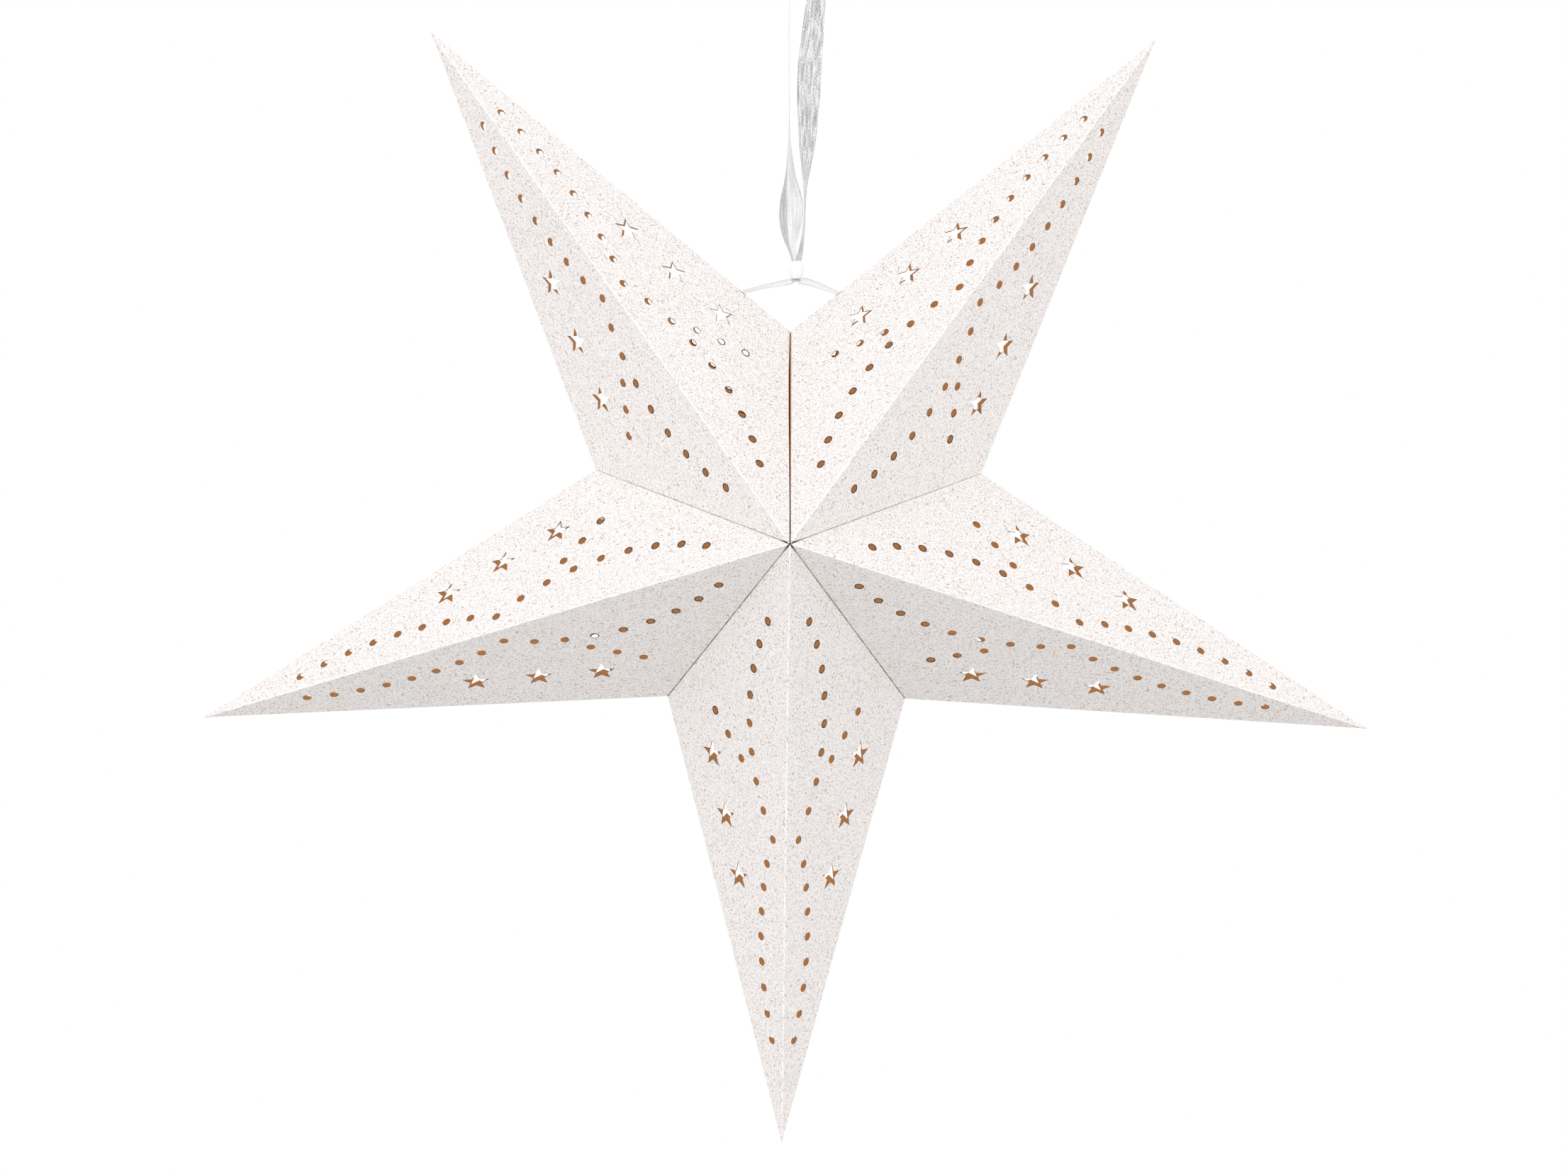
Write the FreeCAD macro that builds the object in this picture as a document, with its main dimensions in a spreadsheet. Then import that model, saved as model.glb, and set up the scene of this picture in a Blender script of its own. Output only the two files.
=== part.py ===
"""Fold-flat five-point paper star lantern, hung by a ribbon with a bead.

Ten card panels make the front and ten make the back.  Each point has four panels, which meet
at a front ridge, a back ridge and two rims.  Neighbouring points are glued together at the
valleys by narrow flanges that stand inwards.  One valley, at the top, stays open as a slit: its
two edges are held together by a ribbon, which goes through a notch in each rim beside the slit.

Millimetres.  +Z is up and the front faces -Y.  The origin is where a hook carries the ribbon's
loop.  The star's centre, which most of the geometry starts from, hangs below it.
"""
import FreeCAD
import Part
import math
import os

import Sketcher
from FreeCAD import Matrix, Placement, Rotation, Vector

POINTS = 5
ARC_SHARE = 0.45  # of the shorter run beside a corner, taken up by the corner's arc
VOLUME_TOLERANCE = 1e-6

SIZES = [
    ("tip_radius", 315.0, "star centre to the tip of a point"),
    ("valley_radius", 104.0, "star centre to the inner end of a rim"),
    ("half_depth", 105.0, "star centre to the front or the back apex"),
    ("card_thickness", 0.4, "one sheet of card"),
    ("ridge_setback", 0.6, "panel edge to the outer line of a ridge"),
    ("rim_setback", 0.45, "panel edge to the outer line of a rim"),
    ("valley_setback", 0.5, "panel edge to the outer line of a valley"),
    ("back_ridge_relief", 1.2, "how much further the back ridge opens at the back apex"),
    ("slit_setback", 0.8, "crease of a slit tab to the line where a closed valley would be"),
    ("flange_width", 8.0, "glued flange or slit tab, measured from its crease"),
    ("flange_crease_gap", 0.3, "flange to its crease line"),
    ("flange_apex_gap", 14.0, "flange to the apex, along the crease"),
    ("flange_taper", 6.0, "how much further from the apex the inner edge starts"),
    ("flange_mitre_gap", 0.6, "flange end to the plane between front and back"),
    ("hole_diameter", 4.5, "round punched hole"),
    ("cutout_radius", 7.4, "star cut-out, centre to tip"),
    ("cutout_waist", 3.1, "star cut-out, centre to inner corner"),
    ("cutout_turn", 29.0, "star cut-out, angle of one tip from the ridge, degrees"),
    ("cutout_along", 132.5, "first star cut-out, distance from the apex along the ridge"),
    ("cutout_across", 58.3, "first star cut-out, distance from the ridge"),
    ("cutout_pitch", 32.3, "from one star cut-out to the next"),
    ("cutout_slope", -19.6, "direction of the row of star cut-outs, degrees"),
    ("cutout_count", 3, "star cut-outs in a panel"),
    ("inner_arc_radius", 113.5, "first arc of holes, which starts near the apex"),
    ("inner_arc_along", 100.0, "its centre, distance from the apex along the ridge"),
    ("inner_arc_below", 84.0, "its centre, distance beyond the ridge"),
    ("inner_arc_from", 118.2, "its first hole, degrees"),
    ("inner_arc_step", 7.78, "from hole to hole, degrees"),
    ("inner_arc_count", 9, "its number of holes"),
    ("outer_arc_radius", 185.0, "second arc of holes, which ends near the tip"),
    ("outer_arc_along", 217.0, "its centre, distance from the apex along the ridge"),
    ("outer_arc_below", 166.5, "its centre, distance beyond the ridge"),
    ("outer_arc_from", 102.0, "its first hole, degrees"),
    ("outer_arc_step", 4.38, "from hole to hole, degrees"),
    ("outer_arc_count", 8, "its number of holes"),
    ("branch_along", 127.3, "first hole of the branch, distance from the apex along the ridge"),
    ("branch_across", 35.6, "first hole of the branch, distance from the ridge"),
    ("branch_pitch", 14.3, "from hole to hole of the branch"),
    ("branch_slope", 133.0, "direction of the branch, degrees"),
    ("branch_count", 3, "its number of holes"),
    ("notch_reach", 31.5, "ribbon notch, distance from the slit along the rim"),
    ("notch_radius", 2.4, "ribbon notch, half of its width"),
    ("ribbon_width", 12.0, "flat ribbon"),
    ("ribbon_thickness", 0.4, "flat ribbon"),
    ("ribbon_gathered", 3.0, "diameter of the ribbon where it is drawn together"),
    ("star_drop", 303.0, "hook to star centre, down"),
    ("hook_offset", 8.0, "hook to star centre, sideways"),
    ("loop_radius", 7.3, "ribbon's bend over the hook, to the inner side"),
    ("loop_hand", 150.0, "top of the hook to the point where the two runs come together"),
    ("loop_hand_reach", 2.2, "outer face of a run to the middle between the runs, there"),
    ("bead_height", 9.0, "bead, along the ribbon"),
    ("bead_radius", 4.0, "bead, at its middle"),
    ("bead_end_radius", 3.1, "bead, at its ends"),
    ("bead_bore_radius", 2.1, "bead, hole for the two gathered runs"),
    ("bead_side", 2.8, "bead axis to star centre, sideways"),
    ("bead_level", 135.6, "bead middle to star centre, up"),
    ("leg_radius", 1.2, "ribbon's leg to a rim, half of its thickness"),
    ("leg_bow", 0.6, "how far a leg bows up at its middle"),
    ("leg_clearance", 0.4, "leg to the gathered ribbon and to the bead above it"),
    ("knot_radius", 2.2, "stopper knot, half of its thickness"),
    ("knot_roll_radius", 1.4, "ribbon's rolled ends beside the knot, half of their thickness"),
    ("knot_length", 7.5, "stopper knot with its rolled ends, end to end"),
    ("knot_barrel_length", 4.5, "stopper knot, its thick middle"),
    ("knot_clearance", 0.3, "stopper knot to the card"),
]

doc = FreeCAD.newDocument("paper_star_lantern")
sheet = doc.addObject("Spreadsheet::Sheet", "Sizes")


def fill_sheet():
    """Writes each driving dimension into its own row, with its alias and what it measures."""
    for row, (alias, number, words) in enumerate(SIZES, 1):
        sheet.set(f"A{row}", alias)
        sheet.set(f"B{row}", str(number))
        sheet.setAlias(f"B{row}", alias)
        sheet.set(f"C{row}", words)
    doc.recompute()


fill_sheet()


def size(alias):
    return float(sheet.get(alias))


def cell(text):
    """Turns words such as {ribbon_width} in an expression into references to the sheet."""
    for alias, _, _ in SIZES:
        text = text.replace("{" + alias + "}", "Sizes." + alias)
    return text


STEP_ANGLE = 360.0 / POINTS
RIDGE_LENGTH = "sqrt({tip_radius}^2 + {half_depth}^2)"
VALLEY_LENGTH = "sqrt({valley_radius}^2 + {half_depth}^2)"
RIM_LENGTH = (
    "sqrt({tip_radius}^2 + {valley_radius}^2"
    f" - 2 * {{tip_radius}} * {{valley_radius}} * cos({STEP_ANGLE / 2} deg))"
)

centre = Vector(-size("hook_offset"), 0, -size("star_drop"))
front_apex = centre + Vector(0, -size("half_depth"), 0)
back_apex = centre + Vector(0, size("half_depth"), 0)


def around(radius, degrees):
    """A point in the star's middle plane, at an angle measured from +X towards +Z."""
    turn = math.radians(degrees)
    return centre + Vector(radius * math.cos(turn), 0, radius * math.sin(turn))


def valley(number):
    """Inner corner before point number + 1; the slit is valley 0, and valley 5 again."""
    return around(size("valley_radius"), 90.0 + STEP_ANGLE * number)


def tip(number):
    """Tip of a point, 1 to 5, counted to the left from the slit as seen from the front."""
    return around(size("tip_radius"), 90.0 + STEP_ANGLE * (number - 0.5))


def frame_at(origin, along, outward):
    """A placement with X along a line and Z near a direction, squared to that line."""
    x = Vector(along).normalize()
    y = outward.cross(x).normalize()
    z = x.cross(y)
    return Placement(
        Matrix(
            x.x, y.x, z.x, origin.x,
            x.y, y.y, z.y, origin.y,
            x.z, y.z, z.z, origin.z,
            0, 0, 0, 1,
        )
    )


def plane_of(body, role):
    for feature in body.Origin.OriginFeatures:
        if feature.Role == role:
            return feature
    raise RuntimeError(f"{body.Label} has no {role}")


def new_body(label):
    body = doc.addObject("PartDesign::Body", label)
    body.Label = label
    return body


def new_sketch(body, name, role="XY_Plane"):
    sketch = body.newObject("Sketcher::SketchObject", f"{body.Label}_{name}")
    sketch.AttachmentSupport = [(plane_of(body, role), "")]
    sketch.MapMode = "FlatFace"
    return sketch


def bind(sketch, kind, parts, expression, start):
    """Adds one dimension to a sketch and ties it to the sheet."""
    index = sketch.addConstraint(Sketcher.Constraint(kind, *parts, start))
    sketch.setExpression(f"Constraints[{index}]", cell(expression))


def line(sketch, start, end, construction=False):
    return sketch.addGeometry(Part.LineSegment(start, end), construction)


def join(sketch, first, first_end, second, second_end):
    sketch.addConstraint(
        Sketcher.Constraint("Coincident", first, first_end, second, second_end)
    )


def pad(body, sketch, expression, inwards=True):
    feature = body.newObject("PartDesign::Pad", f"{body.Label}_pad")
    feature.Profile = sketch
    feature.setExpression("Length", cell(expression))
    feature.Reversed = inwards
    sketch.Visibility = False
    return feature


def pocket(body, sketch, name):
    """Punches a sketch through the card, which lies below the sketch plane."""
    feature = body.newObject("PartDesign::Pocket", f"{body.Label}_{name}")
    feature.Profile = sketch
    feature.Type = "ThroughAll"
    feature.Midplane = True
    sketch.Visibility = False
    return feature


def panel_corners(hand):
    """Corners of a panel's ideal triangle in its own plane: apex, tip and valley end."""
    depth = size("half_depth")
    ridge = math.hypot(size("tip_radius"), depth)
    groove = math.hypot(size("valley_radius"), depth)
    spread = math.cos(math.radians(STEP_ANGLE / 2))
    shared = size("tip_radius") * size("valley_radius") * spread + depth * depth
    angle = math.acos(shared / (ridge * groove))
    end = Vector(groove * math.cos(angle), hand * groove * math.sin(angle), 0)
    return Vector(0, 0, 0), Vector(ridge, 0, 0), end


def inset_corner(corner, first, second, first_inset, second_inset):
    """The point inside a corner at given distances from its lines to the first and second point."""
    along_first = (first - corner).normalize()
    along_second = (second - corner).normalize()
    spread = math.sin(along_first.getAngle(along_second))
    return corner + along_first * (second_inset / spread) + along_second * (first_inset / spread)


def ideal_triangle(sketch, hand):
    """The triangle between the outer crease lines, as construction lines 0, 1 and 2."""
    apex, far, end = panel_corners(hand)
    ridge = line(sketch, apex, far, True)
    rim = line(sketch, far, end, True)
    groove = line(sketch, end, apex, True)
    join(sketch, ridge, 2, rim, 1)
    join(sketch, rim, 2, groove, 1)
    join(sketch, groove, 2, ridge, 1)
    join(sketch, ridge, 1, -1, 1)
    sketch.addConstraint(Sketcher.Constraint("PointOnObject", ridge, 2, -1))
    bind(sketch, "Distance", (ridge,), RIDGE_LENGTH, (far - apex).Length)
    bind(sketch, "Distance", (rim,), RIM_LENGTH, (end - far).Length)
    bind(sketch, "Distance", (groove,), VALLEY_LENGTH, (end - apex).Length)
    return ridge, rim, groove


def check_inside(feature, corners):
    """Stops if the outline came out on the wrong side of one of its ideal lines."""
    first, second, third = corners
    area = (second - first).cross(third - first).Length / 2
    volume = area * size("card_thickness")
    if abs(feature.Shape.Volume - volume) > VOLUME_TOLERANCE * volume:
        raise RuntimeError(f"{feature.Label}: {feature.Shape.Volume} instead of {volume} mm3")


def panel_outline(body, hand, is_back, at_slit):
    """Draws the card's outline a little inside the ideal triangle, and pads it inwards."""
    sketch = new_sketch(body, "outline")
    ideal = ideal_triangle(sketch, hand)
    apex, far, end = panel_corners(hand)
    ridge_inset, rim_inset = size("ridge_setback"), size("rim_setback")
    apex_inset = ridge_inset + (size("back_ridge_relief") if is_back else 0)
    groove_inset = size("valley_setback") + (size("slit_setback") if at_slit else 0)
    near_apex = inset_corner(apex, far, end, apex_inset, groove_inset)
    near_tip = inset_corner(far, apex, end, ridge_inset, rim_inset)
    near_valley = inset_corner(end, far, apex, rim_inset, groove_inset)
    ridge = line(sketch, near_apex, near_tip)
    rim = line(sketch, near_tip, near_valley)
    groove = line(sketch, near_valley, near_apex)
    join(sketch, ridge, 2, rim, 1)
    join(sketch, rim, 2, groove, 1)
    join(sketch, groove, 2, ridge, 1)
    setback = "{ridge_setback}"
    opened = setback + (" + {back_ridge_relief}" if is_back else "")
    edge = "{valley_setback}" + (" + {slit_setback}" if at_slit else "")
    bind(sketch, "Distance", (ridge, 2, ideal[0]), setback, ridge_inset)
    bind(sketch, "Distance", (ridge, 1, ideal[0]), opened, apex_inset)
    sketch.addConstraint(Sketcher.Constraint("Parallel", rim, ideal[1]))
    bind(sketch, "Distance", (rim, 1, ideal[1]), "{rim_setback}", rim_inset)
    sketch.addConstraint(Sketcher.Constraint("Parallel", groove, ideal[2]))
    bind(sketch, "Distance", (groove, 2, ideal[2]), edge, groove_inset)
    feature = pad(body, sketch, "{card_thickness}")
    doc.recompute()
    check_inside(feature, (near_apex, near_tip, near_valley))
    return feature


def along_arc(name, count, hand):
    """Centres of holes on an arc, with the arc's own sheet cells."""
    centres = []
    for number in range(count):
        turn = math.radians(size(f"{name}_from") - number * size(f"{name}_step"))
        radius = size(f"{name}_radius")
        x = size(f"{name}_along") + radius * math.cos(turn)
        y = radius * math.sin(turn) - size(f"{name}_below")
        centres.append(Vector(x, hand * y, 0))
    return centres


def along_line(name, count, hand):
    """Centres on a straight row, with the row's own sheet cells."""
    slope = math.radians(size(f"{name}_slope"))
    step = Vector(math.cos(slope), math.sin(slope), 0) * size(f"{name}_pitch")
    first = Vector(size(f"{name}_along"), size(f"{name}_across"), 0)
    row = [first + step * number for number in range(count)]
    return [Vector(point.x, hand * point.y, 0) for point in row]


def punch_holes(body, hand):
    """The two arcs of round holes along the ridge, and the short branch that leaves them."""
    sketch = new_sketch(body, "holes")
    centres = along_arc("inner_arc", int(size("inner_arc_count")), hand)
    centres += along_arc("outer_arc", int(size("outer_arc_count")), hand)
    centres += along_line("branch", int(size("branch_count")), hand)
    radius = size("hole_diameter") / 2
    for centre_point in centres:
        circle = sketch.addGeometry(Part.Circle(centre_point, Vector(0, 0, 1), radius))
        sketch.addConstraint(Sketcher.Constraint("DistanceX", circle, 3, centre_point.x))
        sketch.addConstraint(Sketcher.Constraint("DistanceY", circle, 3, centre_point.y))
        bind(sketch, "Radius", (circle,), "{hole_diameter} / 2", radius)
    return pocket(body, sketch, "holes_cut")


def punch_stars(body, hand):
    """The row of star-shaped cut-outs nearer the rim."""
    sketch = new_sketch(body, "cutouts")
    turn = hand * size("cutout_turn")
    for middle in along_line("cutout", int(size("cutout_count")), hand):
        corners = []
        for number in range(2 * POINTS):
            reach = size("cutout_waist" if number % 2 else "cutout_radius")
            angle = math.radians(turn + number * STEP_ANGLE / 2)
            corners.append(middle + Vector(math.cos(angle), math.sin(angle), 0) * reach)
        for number, corner in enumerate(corners):
            line(sketch, corner, corners[(number + 1) % len(corners)])
    return pocket(body, sketch, "cutouts_cut")


def punch_notch(body, hand):
    """Half of the hole that the ribbon goes through, in the rim beside the slit."""
    sketch = new_sketch(body, "notch")
    _, far, end = panel_corners(hand)
    middle = end + (far - end).normalize() * size("notch_reach")
    circle = sketch.addGeometry(Part.Circle(middle, Vector(0, 0, 1), size("notch_radius")))
    sketch.addConstraint(Sketcher.Constraint("DistanceX", circle, 3, middle.x))
    sketch.addConstraint(Sketcher.Constraint("DistanceY", circle, 3, middle.y))
    bind(sketch, "Radius", (circle,), "{notch_radius}", size("notch_radius"))
    return pocket(body, sketch, "notch_cut")


def outward_normal(apex, far, end):
    normal = (far - apex).cross(end - apex).normalize()
    middle = (apex + far + end) * (1 / 3)
    return normal if normal.dot(middle - centre) > 0 else -normal


def make_panel(label, apex, number, groove):
    """One triangular card panel, from an apex to a tip and to the inner corner beside it."""
    far = tip(number)
    end = valley(groove)
    normal = outward_normal(apex, far, end)
    place = frame_at(apex, far - apex, normal)
    hand = 1 if place.inverse().multVec(end).y > 0 else -1
    at_slit = groove in (0, POINTS)
    body = new_body(label)
    steps = [panel_outline(body, hand, apex is back_apex, at_slit)]
    steps.append(punch_holes(body, hand))
    steps.append(punch_stars(body, hand))
    if at_slit:
        steps.append(punch_notch(body, hand))
    body.Placement = place
    doc.recompute()
    volumes = [step.Shape.Volume for step in steps]
    if sorted(volumes, reverse=True) != volumes or len(set(volumes)) < len(volumes):
        raise RuntimeError(f"{label}: a punch cut nothing: {volumes}")
    return body


def make_panels():
    """Four panels for each point: front and back, right and left of its ridge."""
    made = []
    for number in range(1, POINTS + 1):
        for face, apex in (("front", front_apex), ("back", back_apex)):
            for side, groove in (("right", number - 1), ("left", number)):
                label = f"point_{number}_{face}_{side}_panel"
                made.append(make_panel(label, apex, number, groove))
    return made


def flange_outline(sketch):
    """A strip beside its crease: cut at a slant near the apex, and mitred at the valley end.

    The sketch's X axis is the crease, from the apex, and +Y points into the star.
    """
    depth = size("half_depth")
    groove = math.hypot(size("valley_radius"), depth)
    rise = depth / groove
    run = size("valley_radius") / groove
    near, far = size("flange_crease_gap"), size("flange_width")
    gap = size("flange_mitre_gap")
    start = size("flange_apex_gap")

    def mitre(across):
        return (depth - gap - across * run) / rise

    corners = [
        Vector(start, near, 0),
        Vector(mitre(near), near, 0),
        Vector(mitre(far), far, 0),
        Vector(start + size("flange_taper"), far, 0),
    ]
    lines = []
    for number, corner in enumerate(corners):
        lines.append(line(sketch, corner, corners[(number + 1) % len(corners)]))
    for number in range(len(lines)):
        join(sketch, lines[number], 2, lines[(number + 1) % len(lines)], 1)
    across_near = "{flange_crease_gap}"
    across_far = "{flange_width}"
    root = f"({VALLEY_LENGTH})"
    for index, across in ((1, across_near), (2, across_far)):
        reach = f"(({{half_depth}} - {{flange_mitre_gap}}) * {root}"
        reach += f" - {across} * {{valley_radius}}) / {{half_depth}}"
        bind(sketch, "DistanceX", (-1, 1, lines[index], 1), reach, corners[index].x)
    bind(sketch, "DistanceX", (-1, 1, lines[0], 1), "{flange_apex_gap}", corners[0].x)
    slant = "{flange_apex_gap} + {flange_taper}"
    bind(sketch, "DistanceX", (-1, 1, lines[3], 1), slant, corners[3].x)
    for index, across in ((0, across_near), (1, across_near), (2, across_far), (3, across_far)):
        bind(sketch, "DistanceY", (-1, 1, lines[index], 1), across, corners[index].y)


def make_flange_body(label, apex, groove, shift, up_side):
    """One flange sheet: it lies on one side of the plane of its crease and the star's axis."""
    crease = valley(groove) - apex
    inward = centre - apex
    inward = inward - crease * (inward.dot(crease) / crease.dot(crease))
    place = frame_at(apex + shift, crease, crease.cross(inward))
    body = new_body(label)
    sketch = new_sketch(body, "outline")
    flange_outline(sketch)
    pad(body, sketch, "{card_thickness}", inwards=not up_side)
    body.Placement = place
    return body


def make_glued_flanges():
    """The two glued flanges of each closed valley are one node with two sheets."""
    made = []
    for groove in range(1, POINTS):
        for face, apex in (("front", front_apex), ("back", back_apex)):
            sheets = []
            label = f"{face}_seam_{groove}_{groove + 1}"
            for side, up in (("a", True), ("b", False)):
                name = f"{label}_sheet_{side}"
                sheets.append(make_flange_body(name, apex, groove, Vector(0, 0, 0), up))
            pair = doc.addObject("Part::Compound", label)
            pair.Label = label
            pair.Links = sheets
            made.append(pair)
    return made


def slit_shift(side, apex):
    """From the line of a closed valley to the crease of a slit tab, within the panel's face."""
    far = tip(1) if side < 0 else tip(POINTS)
    crease = (valley(0) - apex).normalize()
    across = crease.cross(outward_normal(apex, far, valley(0)))
    towards_tip = across if across.dot(far - apex) > 0 else -across
    return towards_tip * size("slit_setback")


def make_slit_tabs():
    """The open valley's own flanges, one on each side, which aren't glued."""
    made = []
    for face, apex in (("front", front_apex), ("back", back_apex)):
        for name, side in (("left", -1), ("right", 1)):
            label = f"{face}_slit_tab_{name}"
            crease = valley(0) - apex
            lifts = crease.cross(centre - apex).x * side > 0
            made.append(make_flange_body(label, apex, 0, slit_shift(side, apex), lifts))
    return made


def notch_point(side):
    """Where the ribbon goes through a rim; the left rim is point 1's and the right point 5's."""
    corner = valley(0)
    far = tip(1) if side < 0 else tip(POINTS)
    return corner + (far - corner).normalize() * size("notch_reach")


bead_middle = centre + Vector(size("bead_side"), 0, size("bead_level"))


def make_bead():
    """A barrel-shaped bead, turned about the ribbon that it slides on."""
    body = new_body("ribbon_bead")
    sketch = new_sketch(body, "profile", "XZ_Plane")
    half = size("bead_height") / 2
    bore, ends, girth = size("bead_bore_radius"), size("bead_end_radius"), size("bead_radius")
    low = Vector(ends, -half, 0)
    high = Vector(ends, half, 0)
    side = sketch.addGeometry(Part.Arc(low, Vector(girth, 0, 0), high))
    top = line(sketch, high, Vector(bore, half, 0))
    wall = line(sketch, Vector(bore, half, 0), Vector(bore, -half, 0))
    base = line(sketch, Vector(bore, -half, 0), low)
    centre_on_axis = sketch.addGeometry(Part.Point(Vector(girth, 0, 0)), True)
    join(sketch, top, 2, wall, 1)
    join(sketch, wall, 2, base, 1)
    arc_starts_low = sketch.getPoint(side, 1).y < 0
    join(sketch, base, 2, side, 1 if arc_starts_low else 2)
    join(sketch, top, 1, side, 2 if arc_starts_low else 1)
    sketch.addConstraint(Sketcher.Constraint("Horizontal", top))
    sketch.addConstraint(Sketcher.Constraint("Vertical", wall))
    sketch.addConstraint(Sketcher.Constraint("Horizontal", base))
    sketch.addConstraint(Sketcher.Constraint("PointOnObject", centre_on_axis, 1, -1))
    sketch.addConstraint(Sketcher.Constraint("PointOnObject", centre_on_axis, 1, side))
    bind(sketch, "DistanceX", (-1, 1, centre_on_axis, 1), "{bead_radius}", girth)
    bind(sketch, "DistanceX", (-1, 1, top, 1), "{bead_end_radius}", ends)
    bind(sketch, "DistanceX", (-1, 1, base, 2), "{bead_end_radius}", ends)
    bind(sketch, "DistanceX", (-1, 1, wall, 1), "{bead_bore_radius}", bore)
    bind(sketch, "DistanceY", (-1, 1, top, 1), "{bead_height} / 2", half)
    bind(sketch, "DistanceY", (base, 2, -1, 1), "{bead_height} / 2", half)
    turned = body.newObject("PartDesign::Revolution", "ribbon_bead_turned")
    turned.Profile = sketch
    turned.ReferenceAxis = (sketch, ["V_Axis"])
    turned.Angle = 360
    sketch.Visibility = False
    body.Placement = Placement(bead_middle, Rotation())
    return body


def solid_node(label, shape):
    """A piece whose shape is worked out from the sheet and is in place already."""
    feature = doc.addObject("Part::Feature", label)
    feature.Label = label
    feature.Shape = shape
    return feature


def rounded_path(points, section_radius):
    """Straight runs joined by tangent arcs, as large as the shorter run beside each allows."""
    edges = []
    last = points[0]
    for before, corner, after in zip(points, points[1:], points[2:]):
        back = before - corner
        ahead = after - corner
        turn = math.pi - back.getAngle(ahead)
        cut = ARC_SHARE * min(back.Length, ahead.Length)
        radius = cut / math.tan(turn / 2)
        print(f"bend radius {radius:.1f} mm, {radius / (2 * section_radius):.1f} diameters")
        start = corner + back.normalize() * cut
        end = corner + ahead.normalize() * cut
        middle_way = (back.normalize() + ahead.normalize()).normalize()
        peak = corner + middle_way * (radius / math.cos(turn / 2) - radius)
        edges.append(Part.LineSegment(last, start).toShape())
        edges.append(Part.Arc(start, peak, end).toShape())
        last = end
    edges.append(Part.LineSegment(last, points[-1]).toShape())
    return Part.Wire(edges)


def round_cord(points, radius):
    """A round tube along the rounded path; prints how its volume compares."""
    path = rounded_path(points, radius)
    direction = points[1] - points[0]
    circle = Part.Wire(Part.Circle(points[0], direction, radius).toShape())
    tube = path.makePipeShell([circle], True, False)
    expected = math.pi * radius * radius * path.Length
    print(f"tube volume {tube.Volume:.1f} of {expected:.1f} mm3")
    return tube


def band_loop():
    """The ribbon's loop, edge-on from the front: two runs and the bend over the hook."""
    thick, width = size("ribbon_thickness"), size("ribbon_width")
    inner = size("loop_radius")
    outer = inner + thick
    top = Vector(0, 0, -inner)
    close = Vector(bead_middle.x, 0, -size("loop_hand"))
    foot = bead_middle + Vector(0, 0, size("bead_height") / 2)
    reach = size("loop_hand_reach")
    apart = size("ribbon_gathered") / 2

    def side_points(side, inset):
        return [
            top + Vector(side * (outer - inset), 0, 0),
            Vector(close.x + side * (reach - inset), 0, close.z),
            Vector(foot.x + side * (apart - inset), 0, foot.z),
        ]

    left_out = side_points(-1, 0)
    left_in = side_points(-1, thick)
    right_in = side_points(1, thick)
    right_out = side_points(1, 0)
    outer_bend = Part.Arc(left_out[0], Vector(0, 0, thick), right_out[0])
    inner_bend = Part.Arc(right_in[0], Vector(0, 0, 0), left_in[0])
    edges = [outer_bend.toShape()]
    edges += [Part.LineSegment(*pair).toShape() for pair in zip(right_out, right_out[1:])]
    edges.append(Part.LineSegment(right_out[-1], right_in[-1]).toShape())
    edges += [Part.LineSegment(b, a).toShape() for a, b in zip(right_in, right_in[1:])][::-1]
    edges.append(inner_bend.toShape())
    edges += [Part.LineSegment(*pair).toShape() for pair in zip(left_in, left_in[1:])]
    edges.append(Part.LineSegment(left_in[-1], left_out[-1]).toShape())
    edges += [Part.LineSegment(b, a).toShape() for a, b in zip(left_out, left_out[1:])][::-1]
    face = Part.Face(Part.Wire(edges))
    face.translate(Vector(0, -width / 2, 0))
    return face.extrude(Vector(0, width, 0))


def rim_inward(side):
    """Direction from the slit's left or right rim into its point, in the middle plane."""
    far = tip(1) if side < 0 else tip(POINTS)
    rim = (far - valley(0)).normalize()
    across = Vector(-rim.z, 0, rim.x)
    return across if across.dot(centre - valley(0)) > 0 else -across


def knot_depth():
    """Knot's middle to the rim's outer line, so that the knot rests behind both panels."""
    rim_line = rim_inward(-1).dot(centre - valley(0))
    lean = math.atan2(size("half_depth"), rim_line)
    inside = size("card_thickness") + size("knot_clearance") + size("knot_radius")
    return inside / math.sin(lean)


def make_knot(name, side):
    """A stopper knot behind the rim: a short barrel on a thinner roll, along the rim."""
    far = tip(1) if side < 0 else tip(POINTS)
    rim = (far - valley(0)).normalize()
    middle = notch_point(side) + rim_inward(side) * knot_depth()

    def rod(radius, length):
        return Part.makeCylinder(radius, length, middle - rim * (length / 2), rim)

    barrel = rod(size("knot_radius"), size("knot_barrel_length"))
    roll = rod(size("knot_roll_radius"), size("knot_length"))
    return solid_node(f"ribbon_knot_{name}", barrel.fuse(roll))


def make_leg(name, side):
    """One leg of the ribbon, drawn together: from the bead's foot through the notch."""
    below = size("bead_height") / 2 + size("leg_clearance") + size("leg_radius")
    away = size("ribbon_gathered") / 2 + size("leg_clearance")
    start = bead_middle + Vector(side * away, 0, -below)
    hole = notch_point(side)
    halfway = (start + hole) * 0.5
    route = [start, halfway + Vector(0, 0, size("leg_bow")), hole]
    return solid_node(f"ribbon_leg_{name}", round_cord(route, size("leg_radius")))


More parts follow.
